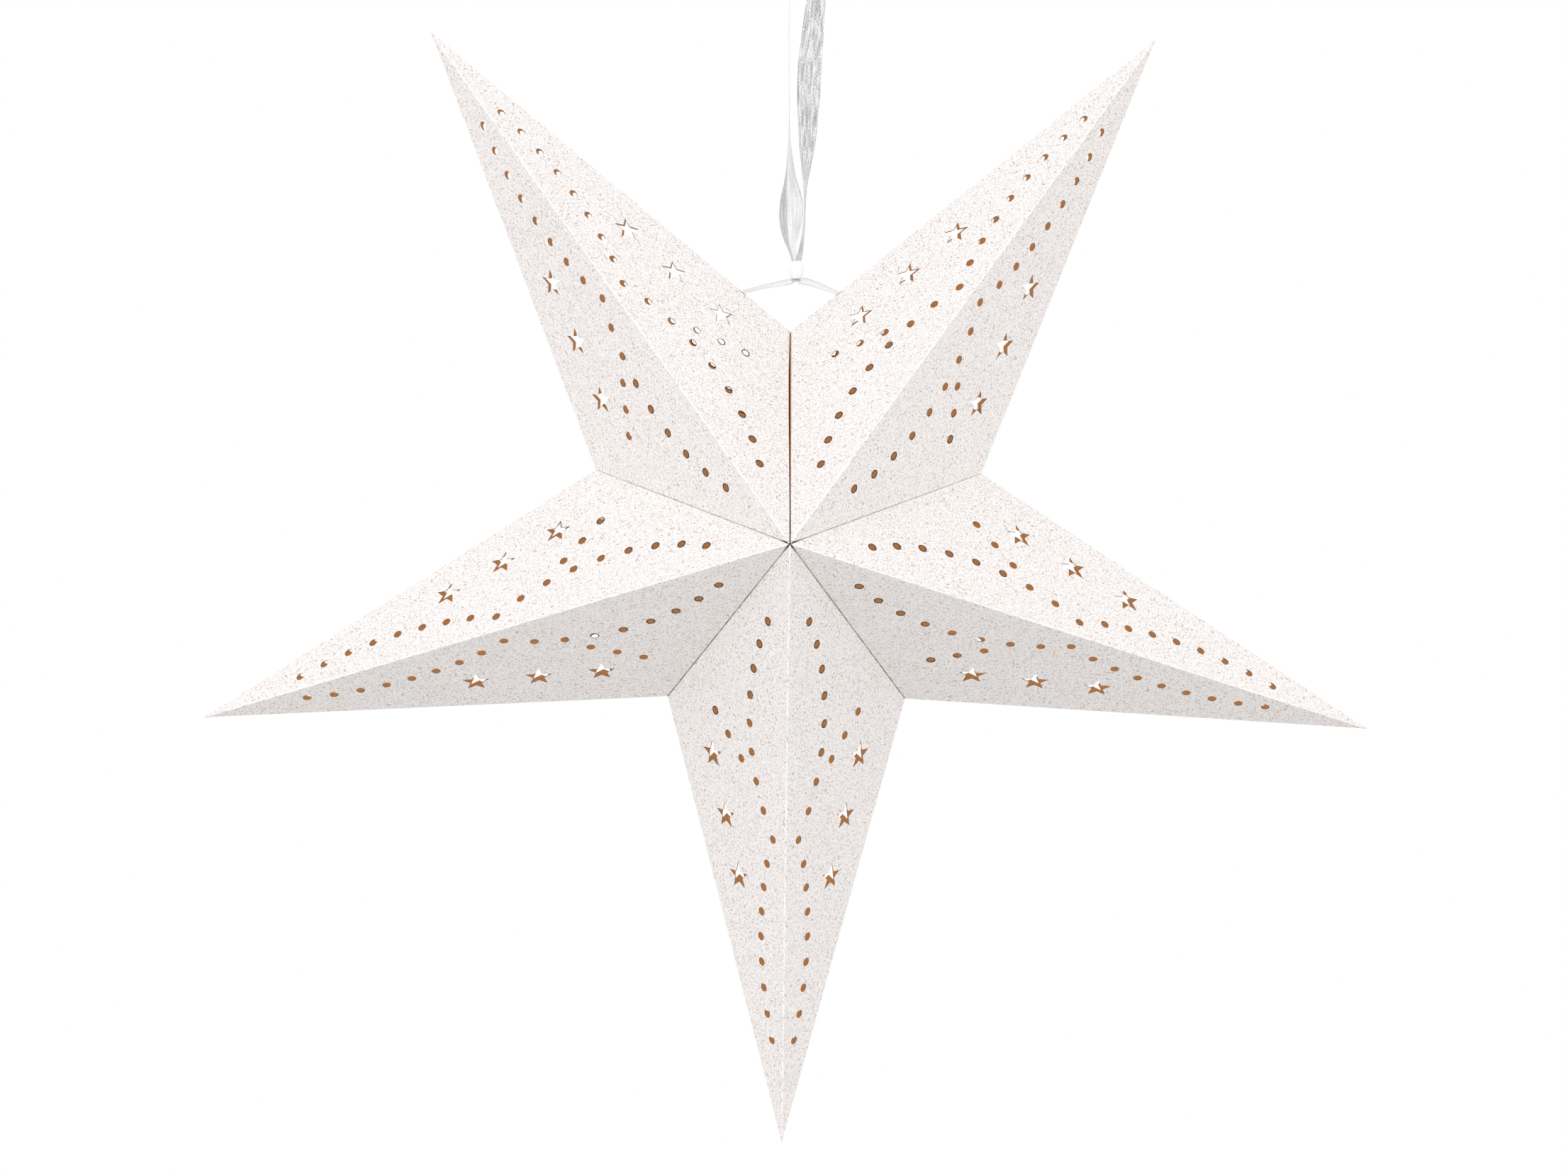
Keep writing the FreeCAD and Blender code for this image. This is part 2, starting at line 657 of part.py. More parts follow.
def make_ribbon():
    """Loop, gathered stretch through the bead, two legs to the rims, and the stopper knots."""
    half = size("bead_height") / 2
    below = half + size("leg_clearance") + 2 * size("leg_radius")
    foot = bead_middle - Vector(0, 0, below)
    made = [solid_node("ribbon_loop", band_loop())]
    core = Part.makeCylinder(size("ribbon_gathered") / 2, below + half, foot)
    made.append(solid_node("ribbon_gathered", core))
    for name, side in (("left", -1), ("right", 1)):
        made.append(make_leg(name, side))
        made.append(make_knot(name, side))
    return made


def check_and_write(parts):
    """Stops on a failed object, then writes one STEP file for each named sub-part."""
    doc.recompute()
    for item in doc.Objects:
        if "Invalid" in item.State or "Error" in item.State:
            raise RuntimeError(f"{item.Label} failed: {item.State}")
    os.makedirs("parts", exist_ok=True)
    for part in parts:
        shape = part.Shape
        if shape.isNull() or not shape.isValid():
            raise RuntimeError(f"{part.Label} has no valid shape")
        shape.exportStep(f"parts/{part.Label}.step")
        print(f"{part.Label}: {len(shape.Solids)} solid(s), {shape.Volume:.1f} mm3")


def main():
    parts = make_panels() + make_glued_flanges() + make_slit_tabs()
    parts.append(make_bead())
    parts += make_ribbon()
    check_and_write(parts)


main()
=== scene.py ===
# %% [markdown]
# # A folding paper star, dressed for its picture
#
# The real thing is a lantern of white card, brown inside, creased into five hollow points and hung
# by a sheer ribbon with a bead.  Its panels come in as finished parts, in metres, at their places
# in the room: +Z is up, the front faces -Y, and the origin is where a hook carries the ribbon.
# This lesson never moves them.  It adds what makes them look real: the card's two faces, the soft
# creases between the panels, the ribbon, the knots and the bead, and light to see them by.

import bmesh
import bpy
import numpy as np
from mathutils import Matrix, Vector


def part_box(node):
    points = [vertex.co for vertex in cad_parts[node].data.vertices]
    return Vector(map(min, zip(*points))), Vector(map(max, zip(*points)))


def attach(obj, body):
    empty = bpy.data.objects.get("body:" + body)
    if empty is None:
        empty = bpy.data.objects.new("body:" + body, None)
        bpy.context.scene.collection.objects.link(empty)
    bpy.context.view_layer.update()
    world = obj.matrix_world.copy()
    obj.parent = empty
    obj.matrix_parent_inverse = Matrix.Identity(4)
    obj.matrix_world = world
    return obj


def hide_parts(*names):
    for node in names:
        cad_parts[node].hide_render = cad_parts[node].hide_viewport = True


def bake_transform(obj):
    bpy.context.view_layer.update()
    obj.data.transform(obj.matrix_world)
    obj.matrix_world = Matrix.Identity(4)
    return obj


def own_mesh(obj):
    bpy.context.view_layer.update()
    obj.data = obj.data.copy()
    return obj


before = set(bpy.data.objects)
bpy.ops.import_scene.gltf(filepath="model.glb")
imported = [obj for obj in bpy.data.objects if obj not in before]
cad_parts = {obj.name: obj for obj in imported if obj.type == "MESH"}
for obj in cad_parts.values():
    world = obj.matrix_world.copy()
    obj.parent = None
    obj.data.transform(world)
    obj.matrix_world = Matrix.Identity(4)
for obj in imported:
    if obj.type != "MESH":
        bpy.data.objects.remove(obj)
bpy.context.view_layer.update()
MM = 0.001

# %% [markdown]
# ## The shape behind everything
#
# A star of five points is two tent-like shells set back to back.  Each shell has one apex, ten
# folded lines run out from it, and between two neighbouring lines lies one flat triangle of card.
# So three kinds of corner give every panel: the apex, the tips and the inner corners.  Working
# them out once lets each crease and each finish find its own plane without a list of numbers.

# %% Corners of the star
POINTS = 5
CENTRE = np.array([-8.0, 0.0, -303.0]) * MM
TIP_RADIUS = 315 * MM
CORNER_RADIUS = 104 * MM
HALF_DEPTH = 105 * MM
CARD = 0.4 * MM
APEX = {"front": CENTRE - [0, HALF_DEPTH, 0], "back": CENTRE + [0, HALF_DEPTH, 0]}


def on_circle(radius, turns):
    """Centre plus radius times (cosine, 0, sine) of a quarter turn and that share of a turn."""
    angle = 2 * np.pi * (0.25 + turns)
    return CENTRE + radius * np.array([np.cos(angle), 0.0, np.sin(angle)])


def unit(vector):
    """The vector divided by its length."""
    return vector / np.linalg.norm(vector)


def units(rows):
    """Each row divided by its length."""
    return rows / np.linalg.norm(rows, axis=1)[:, None]


TIP = {n: on_circle(TIP_RADIUS, (n - 0.5) / POINTS) for n in range(1, POINTS + 1)}
CORNER = {n: on_circle(CORNER_RADIUS, n / POINTS) for n in range(POINTS + 1)}


def panel_plane(number, face, side):
    """Apex, tip, inner corner and outward unit normal, the cross product of two of its edges."""
    apex, tip = APEX[face], TIP[number]
    corner = CORNER[number - 1 if side == "right" else number]
    normal = unit(np.cross(tip - apex, corner - apex))
    outward = np.sign(normal @ ((apex + tip + corner) / 3 - CENTRE))
    return apex, tip, corner, normal * outward


PANELS = [
    (number, face, side)
    for number in range(1, POINTS + 1)
    for face in ("front", "back")
    for side in ("right", "left")
]
print("panels", len(PANELS), "first normal", panel_plane(*PANELS[0])[3].round(3))

# %% [markdown]
# ## The camera
#
# A product picture of a thing half a metre wide is taken from a few metres off with a long lens,
# so that its far tips don't shrink.  The lens and a slight roll were found by matching the star's
# tips and inner corners with where the picture shows them.  The place follows from the cut-outs:
# only where the camera looks squarely through the star do a front hole and a back hole line up.

# %% Camera
CAMERA_PLACE = np.array([-31.0, -2500.0, -193.0]) * MM
CAMERA_PITCH = np.radians(-3.152)
CAMERA_YAW = np.radians(-0.486)
CAMERA_ROLL = np.radians(0.599)
LENS = 111.85
SENSOR_WIDTH = 36
VIEW_END = 60

camera_data = bpy.data.cameras.new("camera")
camera_data.lens = LENS
camera_data.sensor_width = SENSOR_WIDTH
camera_data.clip_end = VIEW_END
camera = bpy.data.objects.new("camera", camera_data)
bpy.context.scene.collection.objects.link(camera)
camera.matrix_world = (
    Matrix.Translation(CAMERA_PLACE)
    @ Matrix.Rotation(CAMERA_YAW, 4, "Z")
    @ Matrix.Rotation(np.pi / 2 + CAMERA_PITCH, 4, "X")
    @ Matrix.Rotation(CAMERA_ROLL, 4, "Z")
)
bpy.context.scene.camera = camera
print("camera", CAMERA_PLACE, "lens", LENS)

# %% [markdown]
# ## Meshes from whole arrays
#
# Everything new here is one kind of surface: rings of points, one ring after another along a
# line.  A lathe, a sweep and a strip differ only in how the rings are worked out.  One helper can
# therefore turn any block of rings into a closed mesh, with a UV map that says how far across and
# how far along each point lies.

# %% Rings to mesh
WELD_WITHIN = 0.001 * MM


def array_mesh(name, points, loops, starts, uv, smooth):
    """A mesh object from its points, each face's first loop, the loops' points and their UVs."""
    mesh = bpy.data.meshes.new(name)
    mesh.vertices.add(len(points))
    mesh.vertices.foreach_set("co", points.reshape(-1).astype(np.float32))
    mesh.loops.add(len(loops))
    mesh.loops.foreach_set("vertex_index", loops.astype(np.int32))
    mesh.polygons.add(len(starts))
    mesh.polygons.foreach_set("loop_start", starts.astype(np.int32))
    mesh.polygons.foreach_set("use_smooth", np.full(len(starts), smooth))
    layer = mesh.uv_layers.new(name="across_along")
    layer.data.foreach_set("uv", uv.reshape(-1).astype(np.float32))
    mesh.update(calc_edges=True)
    mesh.validate()
    made = bpy.data.objects.new(name, mesh)
    bpy.context.scene.collection.objects.link(made)
    return made


def weld(piece):
    """Merges points that lie on each other, so that a surface that comes round closes."""
    work = bmesh.new()
    work.from_mesh(piece.data)
    bmesh.ops.remove_doubles(work, verts=work.verts, dist=WELD_WITHIN)
    bmesh.ops.recalc_face_normals(work, faces=work.faces)
    work.to_mesh(piece.data)
    work.free()


def ring_mesh(name, rings, across, along, smooth=True, closed_ends=True):
    """Joins rings[i, j] to its four neighbours; j wraps round, and each end ring is one face.

    across[j] and along[i] are the UV values of the points, and the wrap's last strip goes to
    across[-1], which is one value longer than the ring.
    """
    count, around = rings.shape[:2]
    row = np.arange(count - 1)[:, None] * around
    column = np.arange(around)[None, :]
    ahead = (column + 1) % around
    quads = np.stack([row + column, row + around + column, row + around + ahead, row + ahead], -1)
    quads = quads.reshape(-1, 4)
    loops = quads.ravel()
    starts = np.arange(len(quads)) * 4
    u_here = np.broadcast_to(across[:-1], (count - 1, around))
    u_next = np.broadcast_to(across[1:], (count - 1, around))
    v_here = np.broadcast_to(along[:-1, None], (count - 1, around))
    v_next = np.broadcast_to(along[1:, None], (count - 1, around))
    u = np.stack([u_here, u_here, u_next, u_next], -1).reshape(-1)
    v = np.stack([v_here, v_next, v_next, v_here], -1).reshape(-1)
    if closed_ends:
        first = np.arange(around)
        last = (count - 1) * around + np.arange(around)[::-1]
        starts = np.concatenate([starts, [len(loops), len(loops) + around]])
        loops = np.concatenate([loops, first, last])
        u = np.concatenate([u, np.zeros(2 * around)])
        v = np.concatenate([v, np.full(around, along[0]), np.full(around, along[-1])])
    return array_mesh(name, rings.reshape(-1, 3), loops, starts, np.stack([u, v], -1), smooth)


print("points closer than", WELD_WITHIN, "m are welded")

# %% [markdown]
# ## Shader maths as expressions
#
# A procedural finish is arithmetic on positions: noise here, a threshold there.  Wiring dozens of
# Math nodes by hand hides the formula, so a small class wraps a socket and lets the plain
# operators add the nodes.  Colours go through Mix nodes instead, which keep their hue.

# %% A small language for finishes
class Wire:
    """One output socket.  An operator between wires and numbers adds its Math node."""

    def __init__(self, finish, socket):
        self.finish = finish
        self.socket = socket

    def math(self, operation, first, second):
        return self.finish.node("Math", {"operation": operation}, {0: first, 1: second})

    def __add__(self, other):
        return self.math("ADD", self, other)

    def __sub__(self, other):
        return self.math("SUBTRACT", self, other)

    def __rsub__(self, other):
        return self.math("SUBTRACT", other, self)

    def __mul__(self, other):
        return self.math("MULTIPLY", self, other)

    def __gt__(self, other):
        return self.math("GREATER_THAN", self, other)

    def __lt__(self, other):
        return self.math("LESS_THAN", self, other)

    __radd__ = __add__
    __rmul__ = __mul__


class Finish:
    """A material with its shader; node() adds any node, its settings before its sockets."""

    def __init__(self, name, **fixed):
        self.material = bpy.data.materials.new(name)
        self.material.use_nodes = True
        self.tree = self.material.node_tree
        self.shader = self.tree.nodes["Principled BSDF"]
        for socket, value in fixed.items():
            self.shader.inputs[socket.replace("_", " ")].default_value = value

    def node(self, kind, settings, sockets, out=0):
        node = self.tree.nodes.new("ShaderNode" + kind)
        stops = settings.pop("stops", None)
        for key, value in settings.items():
            setattr(node, key, value)
        for index, (position, shade) in enumerate(stops or []):
            elements = node.color_ramp.elements
            element = elements[index] if index < 2 else elements.new(position)
            element.position = position
            element.color = (shade, shade, shade, 1)
        for key, value in sockets.items():
            if isinstance(value, Wire):
                self.tree.links.new(value.socket, node.inputs[key])
            else:
                node.inputs[key].default_value = value
        return Wire(self, node.outputs[out])

    def place(self, kind="Object"):
        """The piece's own coordinates: Object for its place in the room, UV for its own map."""
        return self.node("TexCoord", {}, {}, kind)

    def noise(self, where, size, detail=2.0, stretch=(1, 1, 1)):
        """Noise from 0 to 1 whose blotches are about that size, drawn out by the stretch."""
        scaled = self.node("VectorMath", {"operation": "MULTIPLY"}, {0: where, 1: stretch})
        return self.node("TexNoise", {}, {"Vector": scaled, "Scale": 1 / size, "Detail": detail})

    def ramp(self, value, *stops):
        """Grey levels between stops of (value, level)."""
        return self.node("ValToRGB", {"stops": list(stops)}, {0: value})

    def mix(self, factor, first, second):
        """The first colour at factor 0, the second at factor 1."""
        return self.node("Mix", {"data_type": "RGBA"}, {0: factor, 6: first, 7: second}, 2)

    def feed(self, **wires):
        for socket, wire in wires.items():
            self.tree.links.new(wire.socket, self.shader.inputs[socket.replace("_", " ")])

    def bump(self, height, distance, strength=1.0):
        """A height from 0 to 1, that many metres tall, tilts the shading."""
        settings = {"Height": height, "Distance": distance, "Strength": strength}
        self.feed(Normal=self.node("Bump", {}, settings))


print("Math nodes come from", [sign for sign in "+-*><"])

# %% [markdown]
# ## The ribbon's run
#
# The ribbon is one strip of sheer organza, 12 mm wide.  It comes through a notch in the left rim,
# up through the bead, over the hook, back down through the bead and out to the right rim.  The
# bead draws it together like a hair tie, and above the bead it twists: the left run is flat to us
# low down and edge-on higher up, and the right run does the opposite.  A cloth simulation would
# find some twist of its own, so the run is listed: points close together where it turns
# fast, and further apart where it runs straight.
#
# The run is cut where the bead is: the loop above it, the two legs below it, and a short drawn-in
# length in the bore between them.

# %% Route of the ribbon
RIBBON_CLOTH = 2.4 * MM * MM
# Each row: x, y, z, then width, all in mm, turn in degrees, and hollow in mm.
LEFT_LEG_ROUTE = np.array([
    [-32.4, 0.0, -179.1, 1.6, 20, 0.0],
    [-27.0, 0.0, -177.7, 2.0, 35, 0.2],
    [-20.0, 0.0, -175.8, 2.4, 30, 0.3],
    [-12.5, -0.2, -174.4, 2.8, 15, 0.3],
    [-6.6, -0.4, -173.2, 2.8, 0, 0.2],
    [-5.8, -0.6, -171.5, 2.8, 0, 0.2],
])
RIBBON_ROUTE = np.array([
    [-6.2, -0.5, -173.4, 2.8, 0, 0.2],
    [-5.9, -0.7, -168.0, 2.8, 0, 0.2],
    [-6.2, -0.9, -161.5, 3.0, 0, 0.4],
    [-7.6, -1.6, -157.0, 3.6, 0, 1.0],
    [-8.4, -2.4, -150.5, 8.2, 0, 2.0],
    [-8.3, -2.6, -142.0, 12.4, 0, 2.4],
    [-7.9, -2.6, -134.0, 12.0, 8, 2.2],
    [-8.2, -2.4, -126.0, 12.0, 46, 1.7],
    [-8.7, -2.0, -117.5, 12.0, 68, 1.2],
    [-9.1, -1.5, -107.0, 12.0, 80, 0.7],
    [-9.4, -1.0, -95.0, 12.0, 89, 0.3],
    [-9.8, -0.5, -75.0, 12.0, 90, 0.0],
    [-10.2, -0.2, -50.0, 12.0, 90, 0.0],
    [-10.3, 0.0, -30.0, 12.0, 90, 0.0],
    [-8.3, 0.0, -12.0, 12.0, 90, 0.0],
    [-7.5, 0.0, -4.2, 12.0, 90, 0.0],
    [-3.1, 0.0, 0.2, 12.0, 90, 0.0],
    [3.1, 0.0, 0.2, 12.0, 90, 0.0],
    [7.5, 0.0, -4.2, 12.0, 90, 0.0],
    [6.6, 0.0, -11.0, 12.0, 80, 0.0],
    [4.8, 0.2, -20.0, 12.0, 50, 0.3],
    [3.2, 0.5, -31.0, 12.0, 35, 0.6],
    [2.0, 0.9, -46.0, 12.0, 25, 0.8],
    [0.5, 1.4, -64.0, 12.2, 0, 0.9],
    [0.2, 1.9, -78.0, 12.0, -10, 0.9],
    [-0.1, 2.2, -90.0, 11.8, -26, 0.8],
    [-0.3, 2.3, -102.0, 11.6, -42, 0.6],
    [-0.6, 2.3, -112.0, 11.0, -58, 0.5],
    [-1.1, 2.2, -122.0, 9.4, -74, 0.4],
    [-0.9, 2.0, -133.0, 7.4, -84, 0.3],
    [-1.3, 1.6, -146.0, 5.4, -84, 0.3],
    [-2.9, 1.1, -157.5, 3.8, -60, 0.3],
    [-4.4, 0.8, -163.0, 3.0, 0, 0.2],
    [-4.5, 0.7, -168.0, 2.8, 0, 0.2],
    [-4.2, 0.6, -173.4, 2.6, 0, 0.2],
])
DRAWN_IN_ROUTE = np.array([
    [-5.2, 0.0, -172.6, 2.4, 10, 0.4],
    [-5.2, 0.0, -169.5, 2.6, 20, 0.5],
    [-5.2, 0.0, -166.5, 2.6, 40, 0.5],
    [-5.2, 0.0, -163.4, 2.4, 30, 0.4],
])
RIGHT_LEG_ROUTE = np.array([
    [-4.0, 0.2, -173.0, 3.4, 10, 0.3],
    [0.0, -0.2, -173.2, 3.4, 10, 0.5],
    [6.0, -0.2, -175.2, 3.0, 5, 0.5],
    [12.0, 0.0, -177.6, 2.4, 10, 0.3],
    [16.4, 0.0, -179.1, 1.6, 30, 0.0],
])
print("route points", len(RIBBON_ROUTE), "for the loop,", len(LEFT_LEG_ROUTE), "for the left leg")

# %% [markdown]
# ## Reading a spline
#
# A smooth spline is read along the chosen points.  A second one with the same knots carries the
# width, the turn and the hollow, because a spline blends any three numbers as it blends x, y and
# z.  A curve object does the blending: it is made for a moment, read as a mesh and removed.

# %% Points along a spline
SPLINE_ORDER = 3
SPLINE_STEPS = 12


def read_spline(name, points):
    """The points of a NURBS curve, which heads for each control point in turn."""
    curve = bpy.data.curves.new(name, "CURVE")
    curve.dimensions = "3D"
    curve.resolution_u = SPLINE_STEPS
    spline = curve.splines.new("NURBS")
    spline.points.add(len(points) - 1)
    spline.points.foreach_set("co", np.c_[points, np.ones(len(points))].ravel())
    spline.order_u = SPLINE_ORDER
    spline.use_endpoint_u = True
    holder = bpy.data.objects.new(name, curve)
    bpy.context.scene.collection.objects.link(holder)
    bpy.context.view_layer.update()
    mesh = bpy.data.meshes.new_from_object(holder)
    read = np.zeros(len(mesh.vertices) * 3)
    mesh.vertices.foreach_get("co", read)
    bpy.data.objects.remove(holder)
    bpy.data.curves.remove(curve)
    bpy.data.meshes.remove(mesh)
    return read.reshape(-1, 3)


def along_length(line):
    """How far along the line each of its points lies, in metres."""
    steps = np.linalg.norm(np.diff(line, axis=0), axis=1)
    return np.concatenate([[0.0], np.cumsum(steps)])


print("a spline has", SPLINE_STEPS, "steps from one chosen point to the next")

# %% [markdown]
# ## A strip carried along the route
#
# A ribbon has no outline worth drawing: it is a width that turns as it goes.  So a flat
# cross-section is set square to the spline at each of its points, turned by that point's turn and
# arched by its hollow, and the rings that this gives are joined.

# %% A flat strip along a route
ACROSS_POINTS = 15
EDGE_LEFT = 0.04


def carried(line, wide, high, across, up):
    """Rings line[i] + wide[i] * across[i, j] + high[i] * up[i, j]."""
    return line[:, None] + wide[:, None] * across[:, :, None] + high[:, None] * up[:, :, None]


def ribbon_strip(name, route):
    """A flat strip carried along the route's spline.

    At each point the width lies in the plane square to the line, turned from level towards +Y.
    The cross-section is a shallow arch, hollow * (1 - u * u) high at u of its half width.  It is
    cloth / width thick, because drawn-in cloth piles up and keeps its area, and thins towards its
    edges as the square root of 1 - u^4, down to the root of EDGE_LEFT.
    """
    line = read_spline(name + "_line", route[:, :3] * MM)
    shape = read_spline(name + "_shape", route[:, 3:])
    width, turn, hollow = shape[:, 0] * MM, np.radians(shape[:, 1]), shape[:, 2] * MM
    tangent = units(np.gradient(line, axis=0))
    depth = units(np.array([0.0, 1.0, 0.0]) - tangent * tangent[:, 1:2])
    level = np.cross(depth, tangent)
    wide = level * np.cos(turn)[:, None] + depth * np.sin(turn)[:, None]
    normal = np.cross(tangent, wide)
    u = np.linspace(-1, 1, ACROSS_POINTS)
    edge = np.sqrt(np.clip(1 - u**4, EDGE_LEFT, 1))
    arch = hollow[:, None] * (1 - u * u)
    half_thick = RIBBON_CLOTH / width[:, None] / 2 * edge
    across = np.concatenate([u, u[::-1]])
    lift = np.concatenate([arch + half_thick, (arch - half_thick)[:, ::-1]], axis=1)
    rings = carried(line, wide, normal, width[:, None] / 2 * across, lift)
    share = np.concatenate([across, across[:1]]) / 2 + 0.5
    strip = ring_mesh(name, rings, share, along_length(line))
    return strip, line


ribbon, ribbon_line = ribbon_strip("ribbon", RIBBON_ROUTE)
left_leg, left_leg_line = ribbon_strip("ribbon_left_leg", LEFT_LEG_ROUTE)
right_leg, right_leg_line = ribbon_strip("ribbon_right_leg", RIGHT_LEG_ROUTE)
drawn_in = ribbon_strip("ribbon_drawn_in", DRAWN_IN_ROUTE)[0]

# %% [markdown]
# ## Knots behind the rims
#
# Each end of the ribbon is tied in a plain overhand knot behind its rim, so it can't slip back
# through the notch.  An overhand knot pulled into a ring is a trefoil, which has a short formula,
# so a rolled ribbon carried along that formula is a real knot and not a lump.

# %% Overhand knots
KNOT_REACH = 1.35 * MM
KNOT_ROLL = 0.75 * MM
KNOT_STRETCH = 1.25
KNOT_TILT = np.array([0.3, 0.2, 0.1])
KNOT_STEPS = 120
KNOT_SIDES = 12
FLUTES = 5
FLUTE_DEPTH = 0.12


def knot(name, middle, rim):
    """A fluted tube along the trefoil, which is drawn out along the rim.

    The trefoil is (sin t + 2 sin 2t, cos t - 2 cos 2t, -sin 3t), for t over a full turn.
    """
    t = np.linspace(0, 2 * np.pi, KNOT_STEPS + 1)
    x = np.sin(t) + 2 * np.sin(2 * t)
    y = np.cos(t) - 2 * np.cos(2 * t)
    flat = np.stack([x, y, -np.sin(3 * t)], -1) * (KNOT_REACH / 3)
    side = unit(np.cross(rim, [0, 1, 0]))
    axes = np.stack([rim * KNOT_STRETCH, side, [0, 1, 0]])
    line = middle + flat @ axes
    tangent = np.gradient(line, axis=0)
    tangent[0] = tangent[-1] = line[1] - line[-2]
    tangent = units(tangent)
    first = units(np.cross(tangent, side + KNOT_TILT))
    second = np.cross(tangent, first)
    angle = np.linspace(0, 2 * np.pi, KNOT_SIDES + 1)
    turned = angle[:-1]
    radius = KNOT_ROLL * (1 + FLUTE_DEPTH * np.cos(FLUTES * turned))
    outline = radius * np.stack([np.cos(turned), np.sin(turned)])
    rings = carried(line, first, second, outline[:1], outline[1:])
    made = ring_mesh(name, rings, angle / (2 * np.pi), along_length(line), closed_ends=False)
    weld(made)
    return made


def node_middle(node):
    """The middle of a node's box."""
    low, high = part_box(node)
    return np.array((low + high) / 2)


knots = {}
for side, number in (("left", 1), ("right", POINTS)):
    node = "ribbon_knot_" + side
    knots[side] = knot("tied_knot_" + side, node_middle(node), unit(TIP[number] - CORNER[0]))
print("knots", [tuple(node_middle("ribbon_knot_" + side).round(4)) for side in knots])

# %% [markdown]
# ## The bead
#
# A small wooden bead, painted white, is turned on a lathe: a barrel with rounded ends and a hole.
# A lathe is a profile carried round an axis, so the profile is written as one closed curve and
# every ring of the mesh is that curve at another angle.

# %% Turn the bead
BEAD_RADIUS = 4.0 * MM
BEAD_END_RADIUS = 3.1 * MM
BEAD_BORE = 2.1 * MM
BEAD_HEIGHT = 9.0 * MM
BEAD_EDGE = 0.55 * MM
BULGE_POINTS = 17
LIP_POINTS = 7
BORE_POINTS = 9
BEAD_STEPS = 48


def bead_profile():
    """Radius and height of a closed curve: bulge, rounded lip, bore, and the lip at the base.

    The bulge's radius falls off from the middle with the square of the height.
    """
    side = np.linspace(-1, 1, BULGE_POINTS)
    bulge = BEAD_END_RADIUS + (BEAD_RADIUS - BEAD_END_RADIUS) * (1 - side**2)
    lip = np.linspace(0, np.pi, LIP_POINTS + 2)[1:-1]
    lip_radius = (BEAD_END_RADIUS - BEAD_BORE) / 2
    lip_middle = (BEAD_END_RADIUS + BEAD_BORE) / 2
    straight = BEAD_HEIGHT / 2 - BEAD_EDGE
    top = np.stack([lip_middle + lip_radius * np.cos(lip), straight + BEAD_EDGE * np.sin(lip)], -1)
    down = np.linspace(straight, -straight, BORE_POINTS)
    wall = np.stack([np.full(BORE_POINTS, BEAD_BORE), down], -1)
    base = (top * [1, -1])[::-1]
    return np.concatenate([np.stack([bulge, side * straight], -1), top, wall, base])


def turned_rings(radius, height, middle, steps):
    """Middle plus (radius cos a, -radius sin a, height) for each a of a full turn, and the a."""
    angle = np.linspace(0, 2 * np.pi, steps + 1)
    rings = np.stack([
        middle[0] + radius[:, None] * np.cos(angle[:-1]),
        middle[1] - radius[:, None] * np.sin(angle[:-1]),
        middle[2] + np.broadcast_to(height[:, None], (len(height), steps)),
    ], -1)
    return rings, angle


profile = bead_profile()
bead_rings, bead_turn = turned_rings(*profile.T, node_middle("ribbon_bead"), BEAD_STEPS)
bead_rings = np.concatenate([bead_rings, bead_rings[:1]])
along = along_length(np.concatenate([profile, profile[:1]]))
bead = ring_mesh("turned_bead", bead_rings, bead_turn / (2 * np.pi), along, closed_ends=False)
weld(bead)
print("bead", len(bead.data.polygons), "faces")

# %% [markdown]
# ## Creases
#
# Card doesn't fold to a sharp line.  It is scored first and bends over less than a millimetre, so
# a ridge catches the light along a thin, soft line, and a valley is two such bends that roll into
# each other.  Rounding the edges of the panels would change them, so each crease is a strip of
# its own between two panels: across it runs a quadratic curve that leaves one panel's face, heads
# for the crease line and meets the other face, tangent to both.

# %% Cross-sections of a crease
BEND_POINTS = 7
VALLEY_SETBACK = 0.5 * MM


def bend_curve(start, control, end, first=0.0, last=1.0):
    """(1 - s)^2 start + 2 s (1 - s) control + s^2 end, for s from first to last."""
    s = np.linspace(first, last, BEND_POINTS)[:, None]
    return (1 - s) ** 2 * start + 2 * s * (1 - s) * control + s**2 * end


def away_from(start, end, other):
    """The unit direction square to the edge from start to end, towards the panel's other corner."""
    along = unit(end - start)
    reach = other - start
    return unit(reach - along * (reach @ along))


def ridge_section(away_a, normal_a, away_b, normal_b, setback, last=1.0):
    """Outer and inner curve over a ridge, from the first panel to the share last of the way."""
    inner = -(normal_a + normal_b) / (1 + normal_a @ normal_b) * CARD
    outside = bend_curve(away_a * setback, np.zeros(3), away_b * setback, 0, last)
    ends = away_a * setback - normal_a * CARD, away_b * setback - normal_b * CARD
    inside = bend_curve(ends[0], inner, ends[1], 0, last)
    return outside, inside


def half_valley_section(away_a, normal_a, inward, aside):
    """Outer and inner curve from a panel's face round into its own flange.

    inward points down the flange and aside from the groove's middle towards the panel.
    """
    foot = inward * VALLEY_SETBACK
    outside = bend_curve(away_a * VALLEY_SETBACK, np.zeros(3), foot)
    corner = aside * CARD - inward * CARD * (1 + aside @ normal_a) / (inward @ normal_a)
    inside = bend_curve(away_a * VALLEY_SETBACK - normal_a * CARD, corner, foot + aside * CARD)
    return outside, inside


print("each bend has", BEND_POINTS, "points across")

# %% [markdown]
# ## From a cross-section to a strip
#
# The same section runs along the whole crease, so a strip is that section at evenly spaced places
# on the line.  Two things vary along it.  Near a tip the section shrinks, as the star's point
# does.  And some of its points may move: where a crease opens wider at one end, a shift that
# fades out along the line does it.

# %% A strip along a crease
STRIP_RINGS = 25
INSIDE_SHARE = 2.0
TIP_WIDTH_LEFT = 0.05
strips = {"ridge": [], "plain": [], "valley": [], "slit": []}


